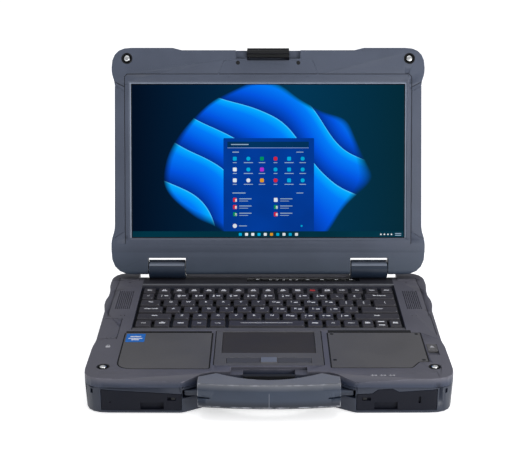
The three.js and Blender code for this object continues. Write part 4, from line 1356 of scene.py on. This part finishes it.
def paint_kept_nodes():
    for node, material in KEPT.items():
        slots = frame["nodes"][node].data.materials
        slots.clear()
        slots.append(material)


# ---- stage

CAMERA_AT = Vector((-5.2, -1198.0, 532.1)) * MM
CAMERA_PITCH = radians(18.85)
LENS = 83.1
FLOOR_REACH = 30
HORIZON_LIGHT = 0.3
ZENITH_LIGHT = 0.75
OVERHEAD_POWER = 7
FLOOR_GLOW = 0.55
SIDE_POWER = 3.4


def area_light(name, location, target, size, power):
    light = bpy.data.lights.new(name, "AREA")
    light.shape = "RECTANGLE"
    light.size, light.size_y = size
    light.energy = power
    obj = bpy.data.objects.new(name, light)
    obj.location = location
    obj.rotation_euler = (Vector(target) - Vector(location)).to_track_quat("-Z", "Y").to_euler()
    bpy.context.scene.collection.objects.link(obj)


def build_stage():
    scene = bpy.context.scene
    scene.view_settings.view_transform = "Standard"
    camera = bpy.data.objects.new("camera", bpy.data.cameras.new("camera"))
    camera.data.lens = LENS
    camera.data.clip_end = 100
    camera.location = CAMERA_AT
    camera.rotation_euler = (pi / 2 - CAMERA_PITCH, 0, 0)
    scene.collection.objects.link(camera)
    scene.camera = camera

    bm = bmesh.new()
    corners = rectangle(-FLOOR_REACH, FLOOR_REACH, -FLOOR_REACH, FLOOR_REACH)
    bm.faces.new([bm.verts.new((*corner, 0)) for corner in corners])
    mesh = bpy.data.meshes.new("floor")
    bm.to_mesh(mesh)
    bm.free()
    surface = Surface("floor", (0.93, 0.93, 0.93), 0.8, specular=0.05)
    surface.color(surface.mix(surface.noise(2), (0.92, 0.92, 0.92), (0.94, 0.94, 0.94)))
    surface.glow((1, 1, 1, 1), FLOOR_GLOW)
    mesh.materials.append(surface.material)
    floor = bpy.data.objects.new("floor", mesh)
    scene.collection.objects.link(floor)
    scene.world = sky_dome()
    area_light("overhead", (0, 0.1, 1.6), (0, 0, 0.05), (1.6, 1.0), OVERHEAD_POWER)
    area_light("side", (0.55, -0.65, 0.25), (0.14, -0.2, 0.02), (0.35, 0.35), SIDE_POWER)


def sky_dome():
    """Even studio light, brightest overhead and dimmer towards the horizon."""
    world = bpy.data.worlds.new("studio")
    world.use_nodes = True
    tree = world.node_tree
    direction = add_node(tree, "ShaderNodeTexCoord", {}).outputs["Generated"]
    up = add_node(tree, "ShaderNodeSeparateXYZ", {"Vector": direction}).outputs["Z"]
    inputs = {"Value": up, "To Min": HORIZON_LIGHT, "To Max": ZENITH_LIGHT}
    light = add_node(tree, "ShaderNodeMapRange", inputs).outputs["Result"]
    fill(tree.nodes["Background"], {"Color": (0.97, 0.98, 1.0, 1), "Strength": light})
    return world


# ---- assembly

build_stage()
build_casings()
build_handle()
build_palm_panels()
build_joints()
build_signs()
build_hinges()
build_keys()
build_keyboard_frame()
build_studs()
build_palm_details()
build_touchpad()
build_indicators()
build_lid()
build_screen()
paint_kept_nodes()
